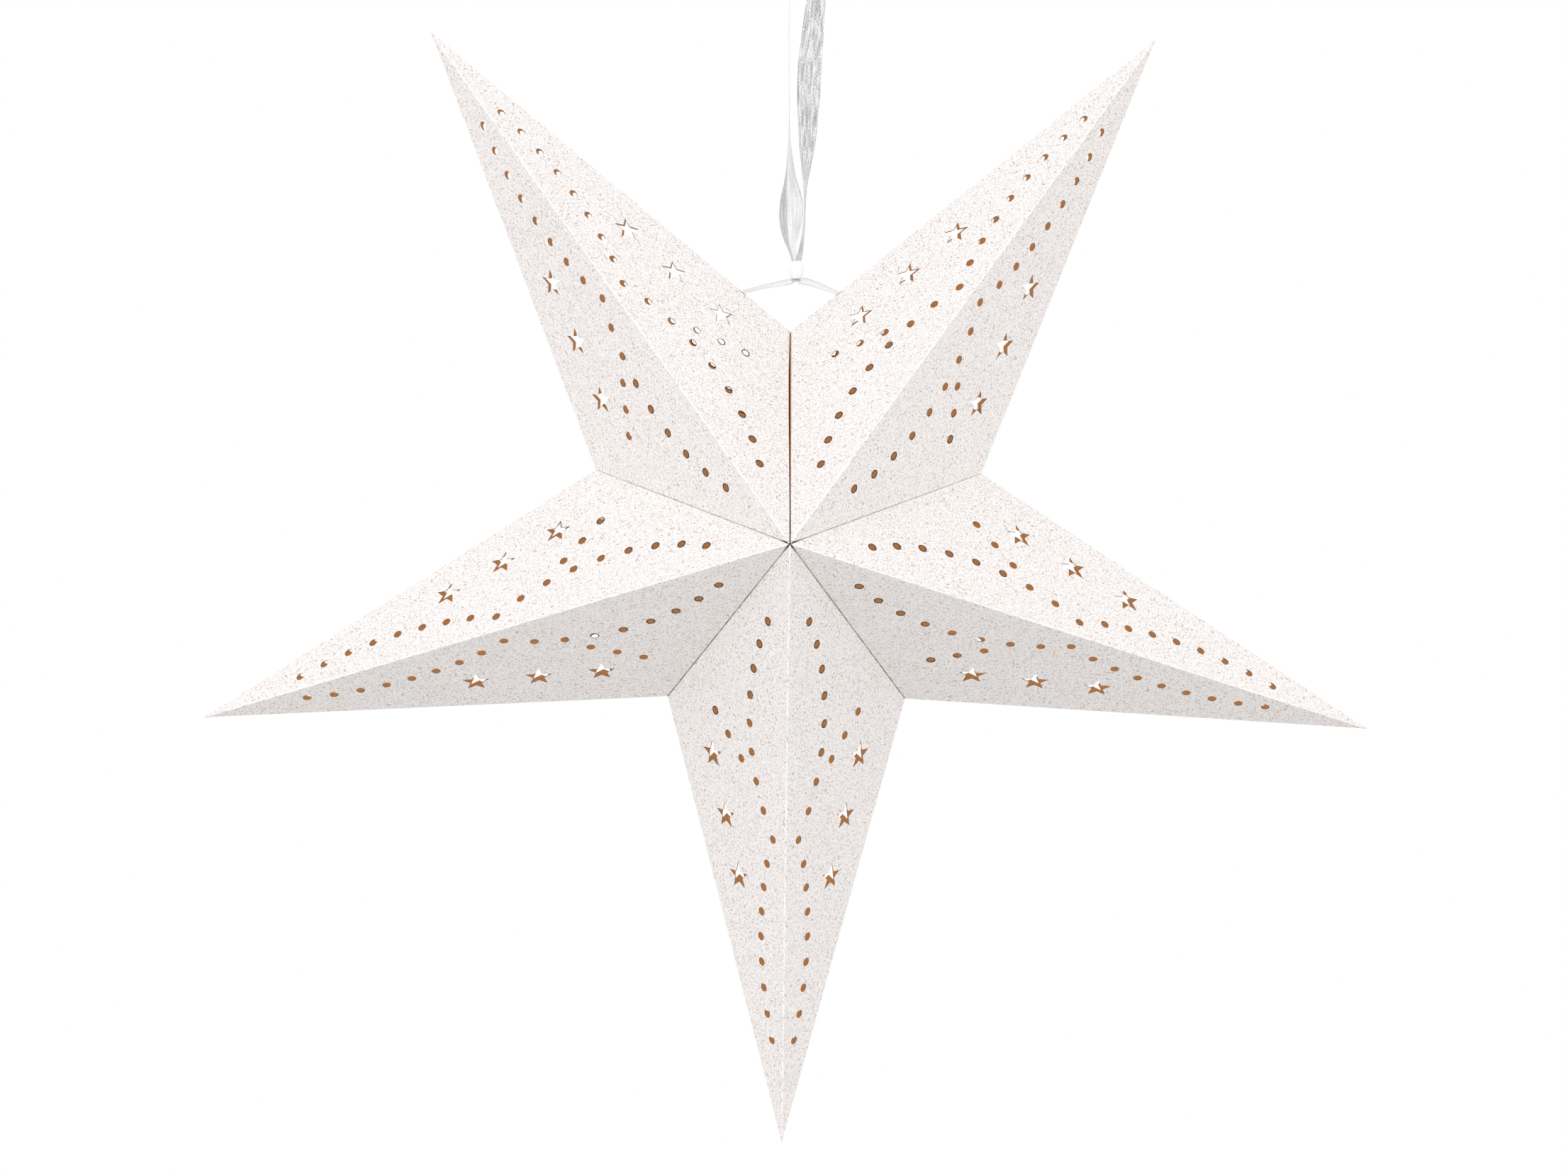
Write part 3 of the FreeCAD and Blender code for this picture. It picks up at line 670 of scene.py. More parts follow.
def crease_strip(kind, name, start, end, outside, inside, moved=None, fade=(1, 1), tip=0):
    """The closed section outside + reversed inside, set along the line from start to end.

    moved has a shift for each point of the section.  It is whole at the start and fades out as
    slope * (1 - share / last), with slope and last from fade.  Over the last tip metres the
    section shrinks to almost nothing, as the star's point does.
    UV x runs from 0 to 1 over the outer curve and is 2 all over the inner side.
    """
    section = np.concatenate([outside, inside[::-1]])
    narrow_from = 1 - tip / np.linalg.norm(end - start)
    share = np.append(np.linspace(0, narrow_from, STRIP_RINGS), [1.0] if tip else [])[:, None]
    line = start + (end - start) * share
    shrink = np.where(share > narrow_from + 1e-9, TIP_WIDTH_LEFT, 1.0)
    rings = line[:, None, :] + section[None, :, :] * shrink[:, :, None]
    if moved is not None:
        rings = rings + np.clip(fade[0] * (1 - share / fade[1]), 0, 1)[:, :, None] * moved
    outer_share = np.linspace(0, 1, len(outside))
    across = np.concatenate([outer_share, np.full(len(inside) + 1, INSIDE_SHARE)])
    strip = ring_mesh(name, rings, across, along_length(line), smooth=False)
    weld(strip)
    strips[kind].append(strip)
    return strip


def between(strip, first_body, second_body, first_point, second_point):
    """The strip's place is baked into its mesh, and it stays there."""
    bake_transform(strip)


print("a strip has", STRIP_RINGS, "rings along its crease")

# %% [markdown]
# ## Ridges and rims
#
# Five ridges run from each apex to the tips, and ten rims join the front shell to the back one.
# All of them bulge outwards.  In front, a ridge is one strip that lies between the two panels
# beside it.  Behind, where the panels only meet, each panel carries its own half of the ridge, and
# near the apex the halves draw back from each other, to pass freely while the star folds.

# %% Bends that stand out
RIDGE_SETBACK = 0.6 * MM
RIM_SETBACK = 0.45 * MM
BACK_RELIEF = 1.2 * MM
TIP_TAPER = 3.6 * MM


def make_ridge(number, face):
    """The fold down the middle of one point, from the apex to the tip."""
    apex, tip, corner_r, normal_r = panel_plane(number, face, "right")
    corner_l, normal_l = panel_plane(number, face, "left")[2:]
    away_r = away_from(apex, tip, corner_r)
    away_l = away_from(apex, tip, corner_l)
    name = f"crease_{face}_ridge_{number}"
    if face == "front":
        outside, inside = ridge_section(away_r, normal_r, away_l, normal_l, RIDGE_SETBACK)
        strip = crease_strip("ridge", name, apex, tip, outside, inside, tip=TIP_TAPER)
        bodies = f"point_{number}_front_right", f"point_{number}_front_left"
        between(strip, *bodies, apex + outside[0], apex + outside[-1])
        return
    for side, away, normal, far_away, far_normal in (
        ("right", away_r, normal_r, away_l, normal_l),
        ("left", away_l, normal_l, away_r, normal_r),
    ):
        outside, inside = ridge_section(away, normal, far_away, far_normal, RIDGE_SETBACK, 0.5)
        outside = np.concatenate([outside[:1], outside])
        inside = np.concatenate([inside[:1], inside])
        moved = np.zeros((len(outside) + len(inside), 3))
        moved[[0, -1]] = away * BACK_RELIEF
        half = f"{name}_{side}"
        strip = crease_strip("ridge", half, apex, tip, outside, inside, moved, tip=TIP_TAPER)
        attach(strip, f"point_{number}_back_{side}")


def make_rim(number, side):
    """The fold between front and back, from an inner corner to the tip."""
    apex_f, tip, corner, normal_f = panel_plane(number, "front", side)
    apex_b, normal_b = APEX["back"], panel_plane(number, "back", side)[3]
    away_f, away_b = away_from(corner, tip, apex_f), away_from(corner, tip, apex_b)
    outside, inside = ridge_section(away_f, normal_f, away_b, normal_b, RIM_SETBACK)
    name = f"crease_rim_{number}_{side}"
    strip = crease_strip("plain", name, corner, tip, outside, inside, tip=TIP_TAPER)
    bodies = f"point_{number}_front_{side}", f"point_{number}_back_{side}"
    between(strip, *bodies, corner + outside[0], corner + outside[-1])


for number in range(1, POINTS + 1):
    for face in ("front", "back"):
        make_ridge(number, face)
    for side in ("right", "left"):
        make_rim(number, side)
print("ridges", len(strips["ridge"]), "rims", len(strips["plain"]))

# %% [markdown]
# ## Valleys
#
# In a valley two panels meet and their glued flanges stand inwards, back to back.  The card bends
# from each panel down into its flange, so a valley is two bends with a fine groove between them.
# Behind, the valley opens while the star folds, so each side has a strip of its own.

# %% Bends that turn in
def make_valley(groove, face):
    """The closed groove between point number groove and the next one."""
    apex, corner = APEX[face], CORNER[groove]
    tip_a, normal_a = panel_plane(groove, face, "left")[1::2]
    tip_b, normal_b = panel_plane(groove + 1, face, "right")[1::2]
    away_a, away_b = away_from(apex, corner, tip_a), away_from(apex, corner, tip_b)
    inward = -unit(normal_a + normal_b)
    aside = unit(away_a - away_b)
    outside_a, inside_a = half_valley_section(away_a, normal_a, inward, aside)
    outside_b, inside_b = half_valley_section(away_b, normal_b, inward, -aside)
    name = f"crease_{face}_valley_{groove}_{groove + 1}"
    body_a, body_b = f"point_{groove}_{face}_left", f"point_{groove + 1}_{face}_right"
    if face == "front":
        outside = np.concatenate([outside_a, outside_b[-2::-1]])
        floor = (inside_a[-1] + inside_b[-1]) / 2 + inward * CARD
        inside = np.concatenate([inside_a, [floor], inside_b[::-1]])
        strip = crease_strip("valley", name, apex, corner, outside, inside)
        between(strip, body_a, body_b, apex + outside[0], apex + outside[-1])
        return
    strip = crease_strip("valley", name + "_left", apex, corner, outside_a, inside_a)
    seam = f"back_seam_{groove}_{groove + 1}"
    between(strip, body_a, seam, apex + outside_a[0], apex + outside_a[-1])
    strip = crease_strip("valley", name + "_right", apex, corner, outside_b, inside_b)
    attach(strip, body_b)


for face in ("front", "back"):
    for groove in range(1, POINTS):
        make_valley(groove, face)
print("valley strips", len(strips["valley"]))

# %% [markdown]
# ## The slit
#
# The groove at the top is left open, so that a lamp can be put in.  Its edges bend in as in a
# valley, but their tabs are loose, and the right edge's flank springs across the gap, so that brown
# card shows in it.  Towards the apex the edges lie flat and almost touch.

# %% Edges of the slit
SLIT_SETBACK = 0.8 * MM
SLIT_HALF_GAP = 0.14 * MM
SLIT_LIP = 0.12 * MM
SLIT_FADE = (1.3, 0.68)
FLANK_REACH = 1.0 * MM
FLANK_DEPTH = 0.9 * MM


def make_slit_edge(face, side):
    """The open groove's edge on one side, from its panel round into its loose tab.

    The right edge's brown flank leans across the groove, below the left edge.  Near the apex both
    edges flatten to a thin lip that reaches almost to the groove's middle.
    """
    number, panel_side = (1, "right") if side == "left" else (POINTS, "left")
    apex, tip, corner, normal = panel_plane(number, face, panel_side)
    away = away_from(apex, corner, tip)
    inward = unit(np.cross(corner - apex, [1, 0, 0]))
    inward = inward * np.sign(inward @ (CENTRE - apex))
    aside = np.array([-1.0 if side == "left" else 1.0, 0, 0])
    outside, inside = half_valley_section(away, normal, inward, aside)
    if side == "right":
        flank = inward * FLANK_DEPTH - aside * FLANK_REACH
        bow = np.linspace(0, 1, BEND_POINTS)[:, None] ** 2 * flank
        outside, inside = outside + bow, inside + bow
    shift = away * SLIT_SETBACK
    foot = outside[-1]
    lean = aside * (SLIT_HALF_GAP - (shift + foot) @ aside) - inward * (foot @ inward)
    lip = outside + np.linspace(0, 1, BEND_POINTS)[:, None] * lean
    moved = np.concatenate([lip - outside, (lip - normal * SLIT_LIP - inside)[::-1]])
    name, start = f"crease_{face}_slit_{side}", apex + shift
    strip = crease_strip("slit", name, start, corner + shift, outside, inside, moved, SLIT_FADE)
    bodies = f"point_{number}_{face}_{panel_side}", f"{face}_slit_tab_{side}"
    between(strip, *bodies, start + outside[0], start + outside[-1])


for face in ("front", "back"):
    for side in ("left", "right"):
        make_slit_edge(face, side)
print("crease strips", {kind: len(made) for kind, made in strips.items()})

# %% [markdown]
# ## Where the holes are
#
# The star cut-outs and the round holes need a finish of their own along their edges, and the
# panels themselves know where those are: on a panel's outer face, an edge with a triangle on one
# side only is an outline.  Following each outline round and leaving out the panel's own, the lines
# that remain are the holes.

# %% Find the holes
ON_PLANE = 0.02 * MM
ON_OUTLINE = 1.4 * MM
MERGE_WITHIN = 0.0001 * MM
DOUBLINGS = 12


def outer_face(node, point, normal):
    """Points of a panel's merged copy, and the triangles that lie on its outer plane."""
    work = bmesh.new()
    work.from_mesh(node.data)
    bmesh.ops.remove_doubles(work, verts=work.verts, dist=MERGE_WITHIN)
    merged = bpy.data.meshes.new("merged")
    work.to_mesh(merged)
    work.free()
    merged.calc_loop_triangles()
    places = np.zeros(len(merged.vertices) * 3)
    merged.vertices.foreach_get("co", places)
    places = places.reshape(-1, 3)
    corners = np.zeros(len(merged.loop_triangles) * 3, dtype=np.int64)
    merged.loop_triangles.foreach_get("vertices", corners)
    corners = corners.reshape(-1, 3)
    bpy.data.meshes.remove(merged)
    near = np.abs((places - point) @ normal) < ON_PLANE
    return places, corners[near[corners].all(axis=1)]


def hole_edges(places, triangles, outline):
    """Each hole point, the one before and the one after it.

    outline holds the panel's three corners.  Every point of a closed line learns the line's
    lowest point number by looking 1, 2, 4, 8, ... points ahead, as often as DOUBLINGS says.
    """
    count = len(places)
    here = triangles.ravel()
    ahead = np.roll(triangles, -1, axis=1).ravel()
    single = ~np.isin(here * count + ahead, ahead * count + here)
    here, ahead = here[single], ahead[single]
    after = np.arange(count)
    after[here] = ahead
    before = np.arange(count)
    before[ahead] = here
    label, jump = np.arange(count), after
    for _ in range(DOUBLINGS):
        label = np.minimum(label, label[jump])
        jump = jump[jump]
    rim = np.zeros(count, dtype=bool)
    for start, end in zip(outline, outline[1:] + outline[:1]):
        reach = np.cross(places[here] - start, unit(end - start))
        rim[here[np.linalg.norm(reach, axis=1) < ON_OUTLINE]] = True
    holes = here[~np.isin(label[here], label[rim])]
    return holes, before[holes], after[holes]


found_holes = {}
for number, face, side in PANELS:
    apex, tip, corner, normal = panel_plane(number, face, side)
    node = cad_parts[f"point_{number}_{face}_{side}_panel"]
    places, triangles = outer_face(node, apex, normal)
    found = hole_edges(places, triangles, [apex, tip, corner])
    found_holes[number, face, side] = places, *found
print("points round holes", sum(len(found[1]) for found in found_holes.values()))

# %% [markdown]
# ## Singed edges and painted shade
#
# The holes are cut by a hot beam, which leaves a fine dark brown line round each of them, and the
# cut wall beside it lies in shade; the dark ring made here paints both, singeing and painted shade.
# A painted line would need a map of every panel.  A flat ring is simpler: it covers a little of the
# card, reaches further into the hole, and is held in the card by its root.

# %% Rings round the holes
DARK_RING_WIDTH = 0.12 * MM
DARK_RING_INTO_HOLE = 0.45 * MM
DARK_RING_LIFT = 0.03 * MM
DARK_RING_ROOT = 0.05 * MM
MITRE_LIMIT = 0.5


def singed_and_shaded_rings(name, normal, places, holes, before, after):
    """A thin dark ring round each hole, part sunk in the card: singeing and painted shade.

    At each point of a hole its four corners are set out along the mitre, the sum of the two
    edges' inward directions, divided by its share of one of them so that the width stays even.
    """
    first = places[holes] - places[before]
    second = places[after] - places[holes]
    inward_a = np.cross(normal, units(first))
    inward_b = np.cross(normal, units(second))
    into = units(inward_a + inward_b)
    into /= np.maximum((into * inward_a).sum(axis=1), MITRE_LIMIT)[:, None]
    section = np.array([
        [-DARK_RING_INTO_HOLE, DARK_RING_LIFT],
        [DARK_RING_WIDTH, DARK_RING_LIFT],
        [DARK_RING_WIDTH, -DARK_RING_ROOT],
        [-DARK_RING_INTO_HOLE, -DARK_RING_ROOT],
    ])
    points = (
        places[holes][:, None, :]
        + into[:, None, :] * section[None, :, :1]
        + normal * section[None, :, 1:]
    )
    number = np.zeros(len(places), dtype=np.int64)
    number[holes] = np.arange(len(holes))
    row, row_after = np.arange(len(holes))[:, None] * 4, number[after][:, None] * 4
    column = np.arange(4)
    beside = (column + 1) % 4
    quads = np.stack([row + column, row_after + column, row_after + beside, row + beside], -1)
    loops = quads.reshape(-1)
    starts = np.arange(len(loops) // 4) * 4
    return array_mesh(name, points, loops, starts, np.zeros((len(loops), 2)), False)


singed_and_shaded = []
for number, face, side in PANELS:
    body = f"point_{number}_{face}_{side}"
    name = f"singed_{body}_panel"
    normal = panel_plane(number, face, side)[3]
    ring_piece = singed_and_shaded_rings(name, normal, *found_holes[number, face, side])
    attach(ring_piece, body)
    singed_and_shaded.append(ring_piece)
print("singed rings", sum(len(piece.data.polygons) for piece in singed_and_shaded), "faces")

# %% [markdown]
# ## The card
#
# The card is white outside with a fine warm-grey fleck, like paper with a little recycled fibre,
# and plain brown inside.  Where a hole goes through it, the cut shows the core, painted very dark:
# singed, and painted shade of the cut wall.  A texture painted on the panels would need a layout
# for each of them.  Instead each panel's finish knows its own plane: a point on the plane is
# outside, one a card's thickness in is inside, and what lies between is the cut edge.  The inside
# has a faint glow, painted light that stands in for the light that comes through the card.

# %% White outside, brown inside
WHITE_CARD = (0.90, 0.875, 0.86, 1)
FLECK = (0.64, 0.58, 0.555, 1)
SPECK = (0.40, 0.31, 0.26, 1)
BROWN_CARD = (0.60, 0.37, 0.17, 1)
BROWN_FIBRE = (0.47, 0.265, 0.11, 1)
# Colour of the cut wall: the singed core, darkened further as painted shade.
SINGED_AND_SHADED_CUT = (0.16, 0.07, 0.024, 1)
# Dark and pale of the rings round the holes: singeing and painted shade.
SINGED_AND_SHADED_DARK = (0.02, 0.008, 0.003, 1)
SINGED_AND_SHADED_PALE = (0.11, 0.048, 0.018, 1)
BLACK = (0, 0, 0, 1)
FLECK_SIZE = 0.75 * MM
SPECK_SIZE = 1.25 * MM
CLOUD_SIZE = 28 * MM
FIBRE_SIZE = 2.2 * MM
SINGE_AND_SHADE_SIZE = 3 * MM
SPECK_STRENGTH = 0.85
CLOUD_STRENGTH = 0.12
GRAIN_HEIGHT = 0.05 * MM
GRAIN_BUMP = 0.6
CUT_FROM = 0.04 * MM
INSIDE_FROM = 0.36 * MM
# Strength of the inside's painted glow, which stands in for light coming through the card.
PAINTED_GLOW_THROUGH_CARD = 0.32


def white_face(finish, where):
    """Colour of the flecked face: fine grain, sparse darker specks and faint wide clouds."""
    grain = finish.noise(where, FLECK_SIZE, detail=4)
    specks = finish.ramp(finish.noise(where, SPECK_SIZE, detail=5), (0.61, 0), (0.65, 1))
    clouds = finish.noise(where, CLOUD_SIZE)
    amount = finish.ramp(grain, (0.46, 0), (0.64, 1)) + (clouds - 0.5) * CLOUD_STRENGTH
    face = finish.mix(amount, WHITE_CARD, FLECK)
    return finish.mix(specks * SPECK_STRENGTH, face, SPECK), grain


def brown_face(finish, where):
    """Colour of the bare side: brown with paler and darker fibres."""
    return finish.mix(finish.noise(where, FIBRE_SIZE, detail=5), BROWN_CARD, BROWN_FIBRE)


def panel_finish(name, point, normal):
    """How deep a point lies under the panel's plane picks the face, the cut edge or the inside."""
    finish = Finish(name, Roughness=0.78, Emission_Strength=PAINTED_GLOW_THROUGH_CARD)
    where = finish.place()
    reach = finish.node("VectorMath", {"operation": "DOT_PRODUCT"}, {0: where, 1: tuple(normal)}, 1)
    depth = float(point @ normal) - reach
    white, grain = white_face(finish, where)
    brown = brown_face(finish, where)
    is_cut = depth > CUT_FROM
    is_inside = depth > INSIDE_FROM
    # The cut wall is painted very dark: singeing and painted shade.
    colour = finish.mix(is_cut, white, SINGED_AND_SHADED_CUT)
    # The inside also glows faintly in brown: painted light for the light that comes through the
    # card.
    finish.feed(
        Base_Color=finish.mix(is_inside, colour, brown),
        Emission_Color=finish.mix(is_inside, BLACK, brown),
    )
    finish.bump(grain, GRAIN_HEIGHT, GRAIN_BUMP)
    return finish.material


def paint_node(node, material):
    """The material in place of those that the node came with."""
    node.data.materials.clear()
    node.data.materials.append(material)


for number, face, side in PANELS:
    node = f"point_{number}_{face}_{side}_panel"
    apex, *_, normal = panel_plane(number, face, side)
    paint_node(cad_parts[node], panel_finish(f"card_{node}", apex, normal))
# The rings round the holes are painted dark: singeing and painted shade of the cut wall.
singed_and_shaded_finish = Finish("singed_and_shaded_card", Roughness=0.85)
singed_and_shaded_tone = singed_and_shaded_finish.noise(singed_and_shaded_finish.place(), SINGE_AND_SHADE_SIZE, detail=3)
singed_and_shaded_finish.feed(Base_Color=singed_and_shaded_finish.mix(singed_and_shaded_tone, SINGED_AND_SHADED_DARK, SINGED_AND_SHADED_PALE))
for ring_piece in singed_and_shaded:
    ring_piece.data.materials.append(singed_and_shaded_finish.material)
print("card finishes", len(PANELS))

# %% [markdown]
# ## Worn folds, with painted highlight and painted shade
#
# Along a ridge the face of the card is stretched and rubbed, so its fleck fades, and its crest
# catches
# the light: the line is painted whiter, partly wear and partly a painted highlight, here and there
# broken.  A valley in the upper half is painted white too, as a painted highlight.  In a lower one
# the face is crushed and cracks, which leaves a thin line, and it is painted darker the lower it
# lies, as painted shade.  At the apex, where all of them meet and the slit ends, a dark spot is
# painted shade.  The slit's edges are brown from the bend inwards, and painted dark, as shade,
# where they run down into the gap.  All of this depends on how far across the strip a point lies,
# which the strip's own UV map gives.

# %% Finishes of the creases
# White of the creases: worn card on the ridges, and a painted highlight on ridges and upper
# valleys.
WORN_AND_HIGHLIGHT_WHITE = (0.97, 0.965, 0.96, 1)
# Line of the lower valleys: a real crease line, darkened as painted shade.
CRACK_AND_SHADE = (0.38, 0.25, 0.15, 1)
# Darkest painted shade: deep in the lower grooves, at the apex and in the slit's gap.
GROOVE_SHADE = (0.07, 0.03, 0.012, 1)
WORN_AND_HIGHLIGHT_SIZE = 3.5 * MM
BROKEN_SIZE = 4 * MM
INSIDE_LIMIT = 1.2


def from_middle(finish, where):
    """How far from the star's middle axis a point lies, in tenths of a metre."""
    beside = finish.node("VectorMath", {"operation": "MULTIPLY"}, {0: where, 1: (1, 0, 1)})
    axis = (CENTRE[0], 0, CENTRE[2])
    return finish.node("VectorMath", {"operation": "DISTANCE"}, {0: beside, 1: axis}, 1) * 10


def ridge_wear_and_highlight(finish, where, across, face):
    """White where a slow noise is high: worn card and a painted highlight on the crest."""
    worn_and_lit = finish.ramp(finish.noise(where, WORN_AND_HIGHLIGHT_SIZE, detail=4), (0.38, 0.05), (0.60, 0.95))
    return finish.mix(worn_and_lit, face, WORN_AND_HIGHLIGHT_WHITE)


def valley_highlight_and_shade(finish, where, across, face):
    """Along the strip's middle: white above, a painted highlight, and below a dark line, which a
    noise breaks up and which is painted darker the lower it lies, as painted shade; dark at the
    apex, also painted shade.
    """
    broken = finish.ramp(finish.noise(where, BROKEN_SIZE, detail=4), (0.38, 0.5), (0.62, 1))
    under_hook = finish.node("SeparateXYZ", {}, {0: where}, 2) * -1
    # How low the point lies sets the painted highlight above and the painted shade below.
    low = finish.ramp(under_hook, (0.24, 0.08), (0.33, 1))
    sides = (0.04, 0), (0.2, 0.8), (0.42, 1)
    middle = finish.ramp(across, *sides, *((1 - at, level) for at, level in reversed(sides)))
    # A dark spot at the apex, where the grooves and the slit meet: painted shade.
    apex_shade = finish.ramp(from_middle(finish, where), (0.02, 1), (0.06, 0))
    face = finish.mix(middle * (1 - low), face, WORN_AND_HIGHLIGHT_WHITE)
    face = finish.mix(middle * broken * low, face, finish.mix(low, CRACK_AND_SHADE, GROOVE_SHADE))
    return finish.mix(apex_shade, face, GROOVE_SHADE)


def slit_edge(finish, where, across, face):
    """Brown over the inner half, which starts later near the apex, and dark at the end, painted
    shade down in the gap.
    """
    later = finish.ramp(from_middle(finish, where), (0.25, 0.36), (0.6, 0))
    face = finish.mix(finish.ramp(across - later, (0.42, 0), (0.56, 1)), face, BROWN_CARD)
    # Dark towards the gap: painted shade.
    return finish.mix(finish.ramp(across, (0.66, 0), (0.92, 1)), face, GROOVE_SHADE)


def strip_finish(name, wear_and_light):
    """The card's face as wear, painted highlight and painted shade change it, and brown where x of
    the UV map says inside.
    """
    finish = Finish(name, Roughness=0.8)
    where = finish.place()
    across = finish.node("SeparateXYZ", {}, {0: finish.place("UV")}, 0)
    face, grain = white_face(finish, where)
    if wear_and_light:
        face = wear_and_light(finish, where, across, face)
    is_inside = across > INSIDE_LIMIT
    finish.feed(Base_Color=finish.mix(is_inside, face, brown_face(finish, where)))
    finish.bump(grain, GRAIN_HEIGHT, GRAIN_BUMP)
    return finish.material


WEAR_AND_PAINTED_LIGHT = {"ridge": ridge_wear_and_highlight, "plain": None, "valley": valley_highlight_and_shade, "slit": slit_edge}
strip_looks = {kind: strip_finish("crease_" + kind, wear_and_light) for kind, wear_and_light in WEAR_AND_PAINTED_LIGHT.items()}
for kind, made in strips.items():
    for strip in made:
        strip.data.materials.append(strip_looks[kind])
print("crease finishes", list(strip_looks))

# %% [markdown]
# ## Flanges
#
# The glued flanges and the loose tabs at the slit are the same card seen from its brown side, so
# they share one finish, with a fainter painted glow, which stands in for light through the card,
# and a finer grain.

# %% Brown flanges
PAINTED_GLOW_ON_FLANGE = 0.1
FLANGE_GRAIN = 0.8 * MM
flange_finish = Finish("brown_flange", Roughness=0.85, Emission_Strength=PAINTED_GLOW_ON_FLANGE)
flange_place = flange_finish.place()
flange_brown = brown_face(flange_finish, flange_place)
# The brown also glows faintly: painted light for the light that comes through the card.
flange_finish.feed(Base_Color=flange_brown, Emission_Color=flange_brown)
flange_grain = flange_finish.noise(flange_place, FLANGE_GRAIN, detail=4)
flange_finish.bump(flange_grain, GRAIN_HEIGHT, GRAIN_BUMP)
flanges = [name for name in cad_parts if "seam" in name or "slit_tab" in name]
for name in flanges:
    paint_node(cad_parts[name], flange_finish.material)
print("brown flanges", len(flanges))

# %% [markdown]
# ## Organza
#
# Organza is a net of fine stiff threads.  The lengthwise ones lie unevenly, so the ribbon shows
# streaks, and light comes through between them.  Real threads are too fine for any picture of the
# whole star, so the finish draws what is left of them at this distance: streaks a few tenths of a
# millimetre wide and many millimetres long, some dense and some nearly clear.

# %% Finish of the ribbon
ORGANZA = (0.40, 0.40, 0.41, 1)
ORGANZA_BRIGHT = (0.88, 0.88, 0.89, 1)
STREAKS = (13, 90, 1)
THREADS = (40, 900, 1)
BAND_STRENGTH = 0.6
RUN_UP_END = 0.168


def organza_finish(name, is_leg):
    """Streaks along the ribbon set its colour and how much of it lets light through.

    On the run up, the left third lies double and is dark, for the double cloth and as painted shade
    of the fold, and beside it a nearly clear, bright band is a painted highlight along the fold.
    A leg is drawn in, so both its edges are dense and its middle is nearly clear.
    """
    finish = Finish(name, Roughness=0.42)
    place = finish.place("UV")
    across = finish.node("SeparateXYZ", {}, {0: place}, 0)
    along = finish.node("SeparateXYZ", {}, {0: place}, 1)
    streaks = finish.noise(place, 1.0, detail=3, stretch=STREAKS)
    threads = finish.noise(place, 1.0, detail=4, stretch=THREADS)
    weave = streaks * 0.5 + threads * 0.5
    dense = finish.ramp(weave, (0.42, 1.0), (0.50, 0.6), (0.58, 0.1))
    if is_leg:
        bands = finish.ramp(across, (0.0, 0.8), (0.22, 0.1), (0.75, 0.0), (1.0, 0.7))
        dense = dense + (bands - dense) * BAND_STRENGTH
    else:
        # The doubled third is dark for the double cloth and as painted shade; the clear band is a
        # painted highlight.
        double_and_shaded = (0, 0.85), (0.34, 0.8)
        bands = finish.ramp(across, *double_and_shaded, (0.38, 0), (0.52, 0), (0.56, 0.25), (1, 0.3))
        dense = dense + (bands - dense) * (along < RUN_UP_END) * BAND_STRENGTH
    finish.feed(
        Base_Color=finish.mix(dense, ORGANZA_BRIGHT, ORGANZA),
        Alpha=finish.ramp(dense, (0.0, 0.10), (0.5, 0.42), (1.0, 0.85)),
    )
    finish.bump(weave, 0.1 * MM, 0.5)
    return finish.material


loop_organza = organza_finish("sheer_organza", False)
leg_organza = organza_finish("drawn_in_organza", True)
ribbon.data.materials.append(loop_organza)
for piece in (left_leg, right_leg, drawn_in, *knots.values()):
    piece.data.materials.append(leg_organza)
print("the run up ends", RUN_UP_END, "m along the loop")

# %% [markdown]
# ## Painted wood
#
# The bead has a thin coat of white paint: a little gloss, faint brush rings and an off-white tone.

# %% Finish of the bead
PAINT = (0.93, 0.92, 0.905, 1)
PAINT_THIN = (0.84, 0.82, 0.80, 1)
BRUSH_RINGS = (150, 150, 2600)
bead_finish = Finish("white_painted_wood", Roughness=0.38, Coat_Weight=0.25, Coat_Roughness=0.2)
rings = bead_finish.noise(bead_finish.place(), 1.0, detail=3, stretch=BRUSH_RINGS)
bead_finish.feed(Base_Color=bead_finish.mix(rings, PAINT, PAINT_THIN))
bead_finish.bump(rings, 0.05 * MM, 0.5)
bead.data.materials.append(bead_finish.material)
print("bead finish", bead_finish.material.name)

# %% [markdown]
# ## What moves with what
#
# The star folds flat like a book, and the bead slides up the ribbon.  The loop, the left leg and
# its knot stay with the star's first panel; the right leg and its knot go with the last one.

# %% Fasten the pieces
first_body, last_body = "point_1_front_right", f"point_{POINTS}_front_left"
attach(bead, "ribbon_bead")
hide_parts("ribbon_bead")
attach(ribbon, first_body)
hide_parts("ribbon_loop", "ribbon_gathered")
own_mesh(ribbon)
between(drawn_in, first_body, "ribbon_bead", *(DRAWN_IN_ROUTE[[0, -1], :3] * MM))
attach(left_leg, first_body)
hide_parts("ribbon_leg_left")
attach(right_leg, last_body)
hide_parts("ribbon_leg_right")
for side, body in (("left", first_body), ("right", last_body)):
    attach(knots[side], body)
    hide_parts("ribbon_knot_" + side)

# %% [markdown]
# ## Light from the sky
#
# The picture has no background at all, only white, and soft light from above: faces that look up
# are nearly white and those that look down are grey.  A sky that is brightest at eye level, a
# little dimmer on top and dark below gives that without a hard shadow.  The camera sees plain
# white behind the star, while the light on the card comes from this sky.

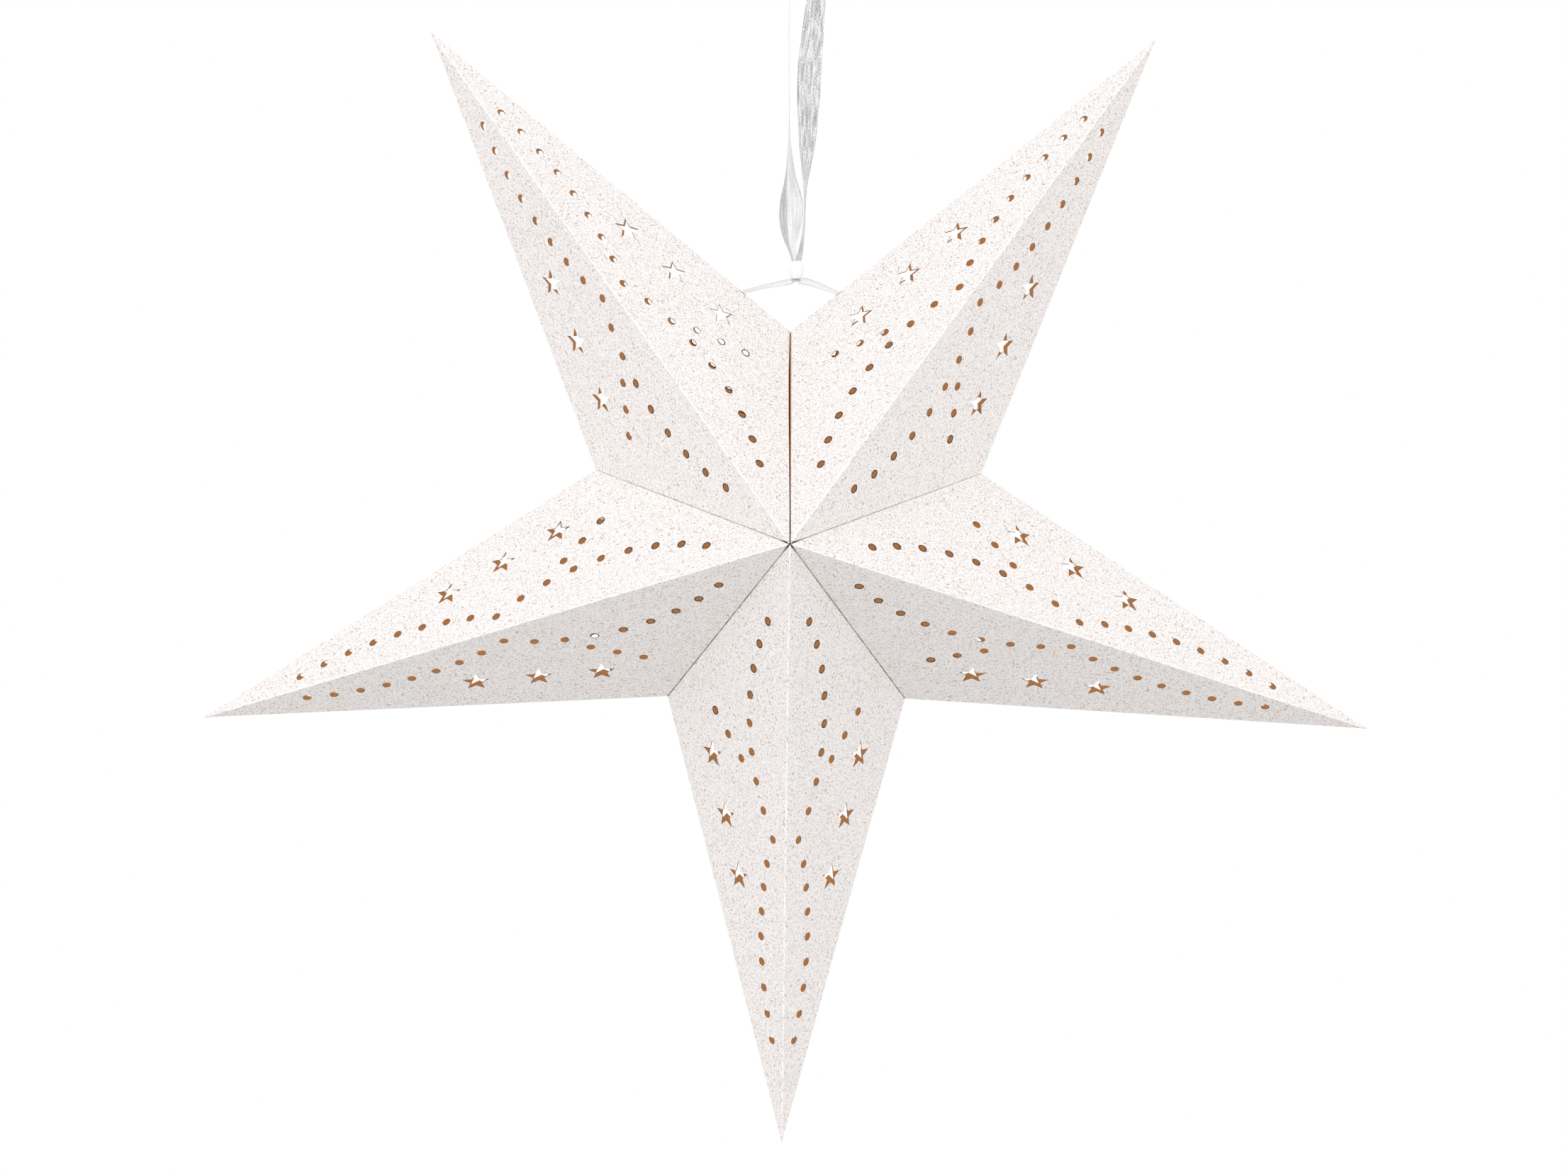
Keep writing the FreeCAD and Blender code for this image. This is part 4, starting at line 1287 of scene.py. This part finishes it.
# %% Sky
SKY_TOP = 0.92
SKY_LEVEL = 1.22
SKY_BELOW = 0.36
world = bpy.data.worlds.new("studio")
world.use_nodes = True
bpy.context.scene.world = world
sky_nodes, sky_links = world.node_tree.nodes, world.node_tree.links
background = sky_nodes["Background"]
direction = sky_nodes.new("ShaderNodeTexCoord")
heights = sky_nodes.new("ShaderNodeSeparateXYZ")
sky_links.new(direction.outputs["Generated"], heights.inputs[0])
levels = sky_nodes.new("ShaderNodeMapRange")
levels.inputs["From Min"].default_value = -1
sky_links.new(heights.outputs["Z"], levels.inputs["Value"])
shades = sky_nodes.new("ShaderNodeValToRGB")
shades.color_ramp.elements[0].color = (SKY_BELOW, SKY_BELOW, SKY_BELOW, 1)
shades.color_ramp.elements[1].color = (SKY_TOP, SKY_TOP, SKY_TOP, 1)
level_stop = shades.color_ramp.elements.new(0.5)
level_stop.color = (SKY_LEVEL, SKY_LEVEL, SKY_LEVEL, 1)
sky_links.new(levels.outputs[0], shades.inputs[0])
rays = sky_nodes.new("ShaderNodeLightPath")
seen = sky_nodes.new("ShaderNodeMix")
seen.data_type = "RGBA"
sky_links.new(rays.outputs["Is Camera Ray"], seen.inputs[0])
sky_links.new(shades.outputs[0], seen.inputs[6])
seen.inputs[7].default_value = (1, 1, 1, 1)
sky_links.new(seen.outputs[2], background.inputs["Color"])
print("sky on top, at the level, below", SKY_TOP, SKY_LEVEL, SKY_BELOW)

# %% [markdown]
# ## Lamps and floor
#
# Two broad, weak lamps in front and above, the stronger one on the left, shape the faces that the
# sky alone would leave flat.  The pale floor lies far below the star, out of the picture, and
# throws back a little light.

# %% Lamps and floor
LAMP_SIZE = 1.6
LAMPS = {"key_lamp": ((-1.4, -2.2, 0.9), 12), "fill_lamp": ((1.2, -2.4, 0.6), 7)}
FLOOR_LEVEL = -2.2
FLOOR_RADII = np.linspace(0.02, 3.0, 6)
FLOOR_STEPS = 64
FLOOR_GRAIN = 6 * MM
FLOOR_TONES = (0.66, 0.66, 0.66, 1), (0.62, 0.62, 0.62, 1)


def soft_lamp(name, place, watts):
    """Adds a square lamp at that place which faces the star's middle."""
    data = bpy.data.lights.new(name, "AREA")
    data.size = LAMP_SIZE
    data.energy = watts
    lamp = bpy.data.objects.new(name, data)
    bpy.context.scene.collection.objects.link(lamp)
    ahead = unit(CENTRE - np.array(place))
    side = unit(np.cross(ahead, [0, 0, 1]))
    turned = np.eye(4)
    turned[:3] = np.stack([side, np.cross(side, ahead), -ahead, place], -1)
    lamp.matrix_world = Matrix(turned.tolist())


for name, (place, watts) in LAMPS.items():
    soft_lamp(name, place, watts)
level = np.full(len(FLOOR_RADII), FLOOR_LEVEL)
floor_rings, floor_turn = turned_rings(FLOOR_RADII, level, np.zeros(3), FLOOR_STEPS)
floor = ring_mesh("floor", floor_rings, floor_turn, FLOOR_RADII, smooth=False, closed_ends=False)
floor_finish = Finish("pale_floor", Roughness=0.9)
floor_grain = floor_finish.noise(floor_finish.place(), FLOOR_GRAIN, detail=3)
floor_finish.feed(Base_Color=floor_finish.mix(floor_grain, *FLOOR_TONES))
floor.data.materials.append(floor_finish.material)
print("lamps", list(LAMPS), "floor", len(floor.data.polygons), "faces")
bpy.context.scene.view_settings.view_transform = "Standard"
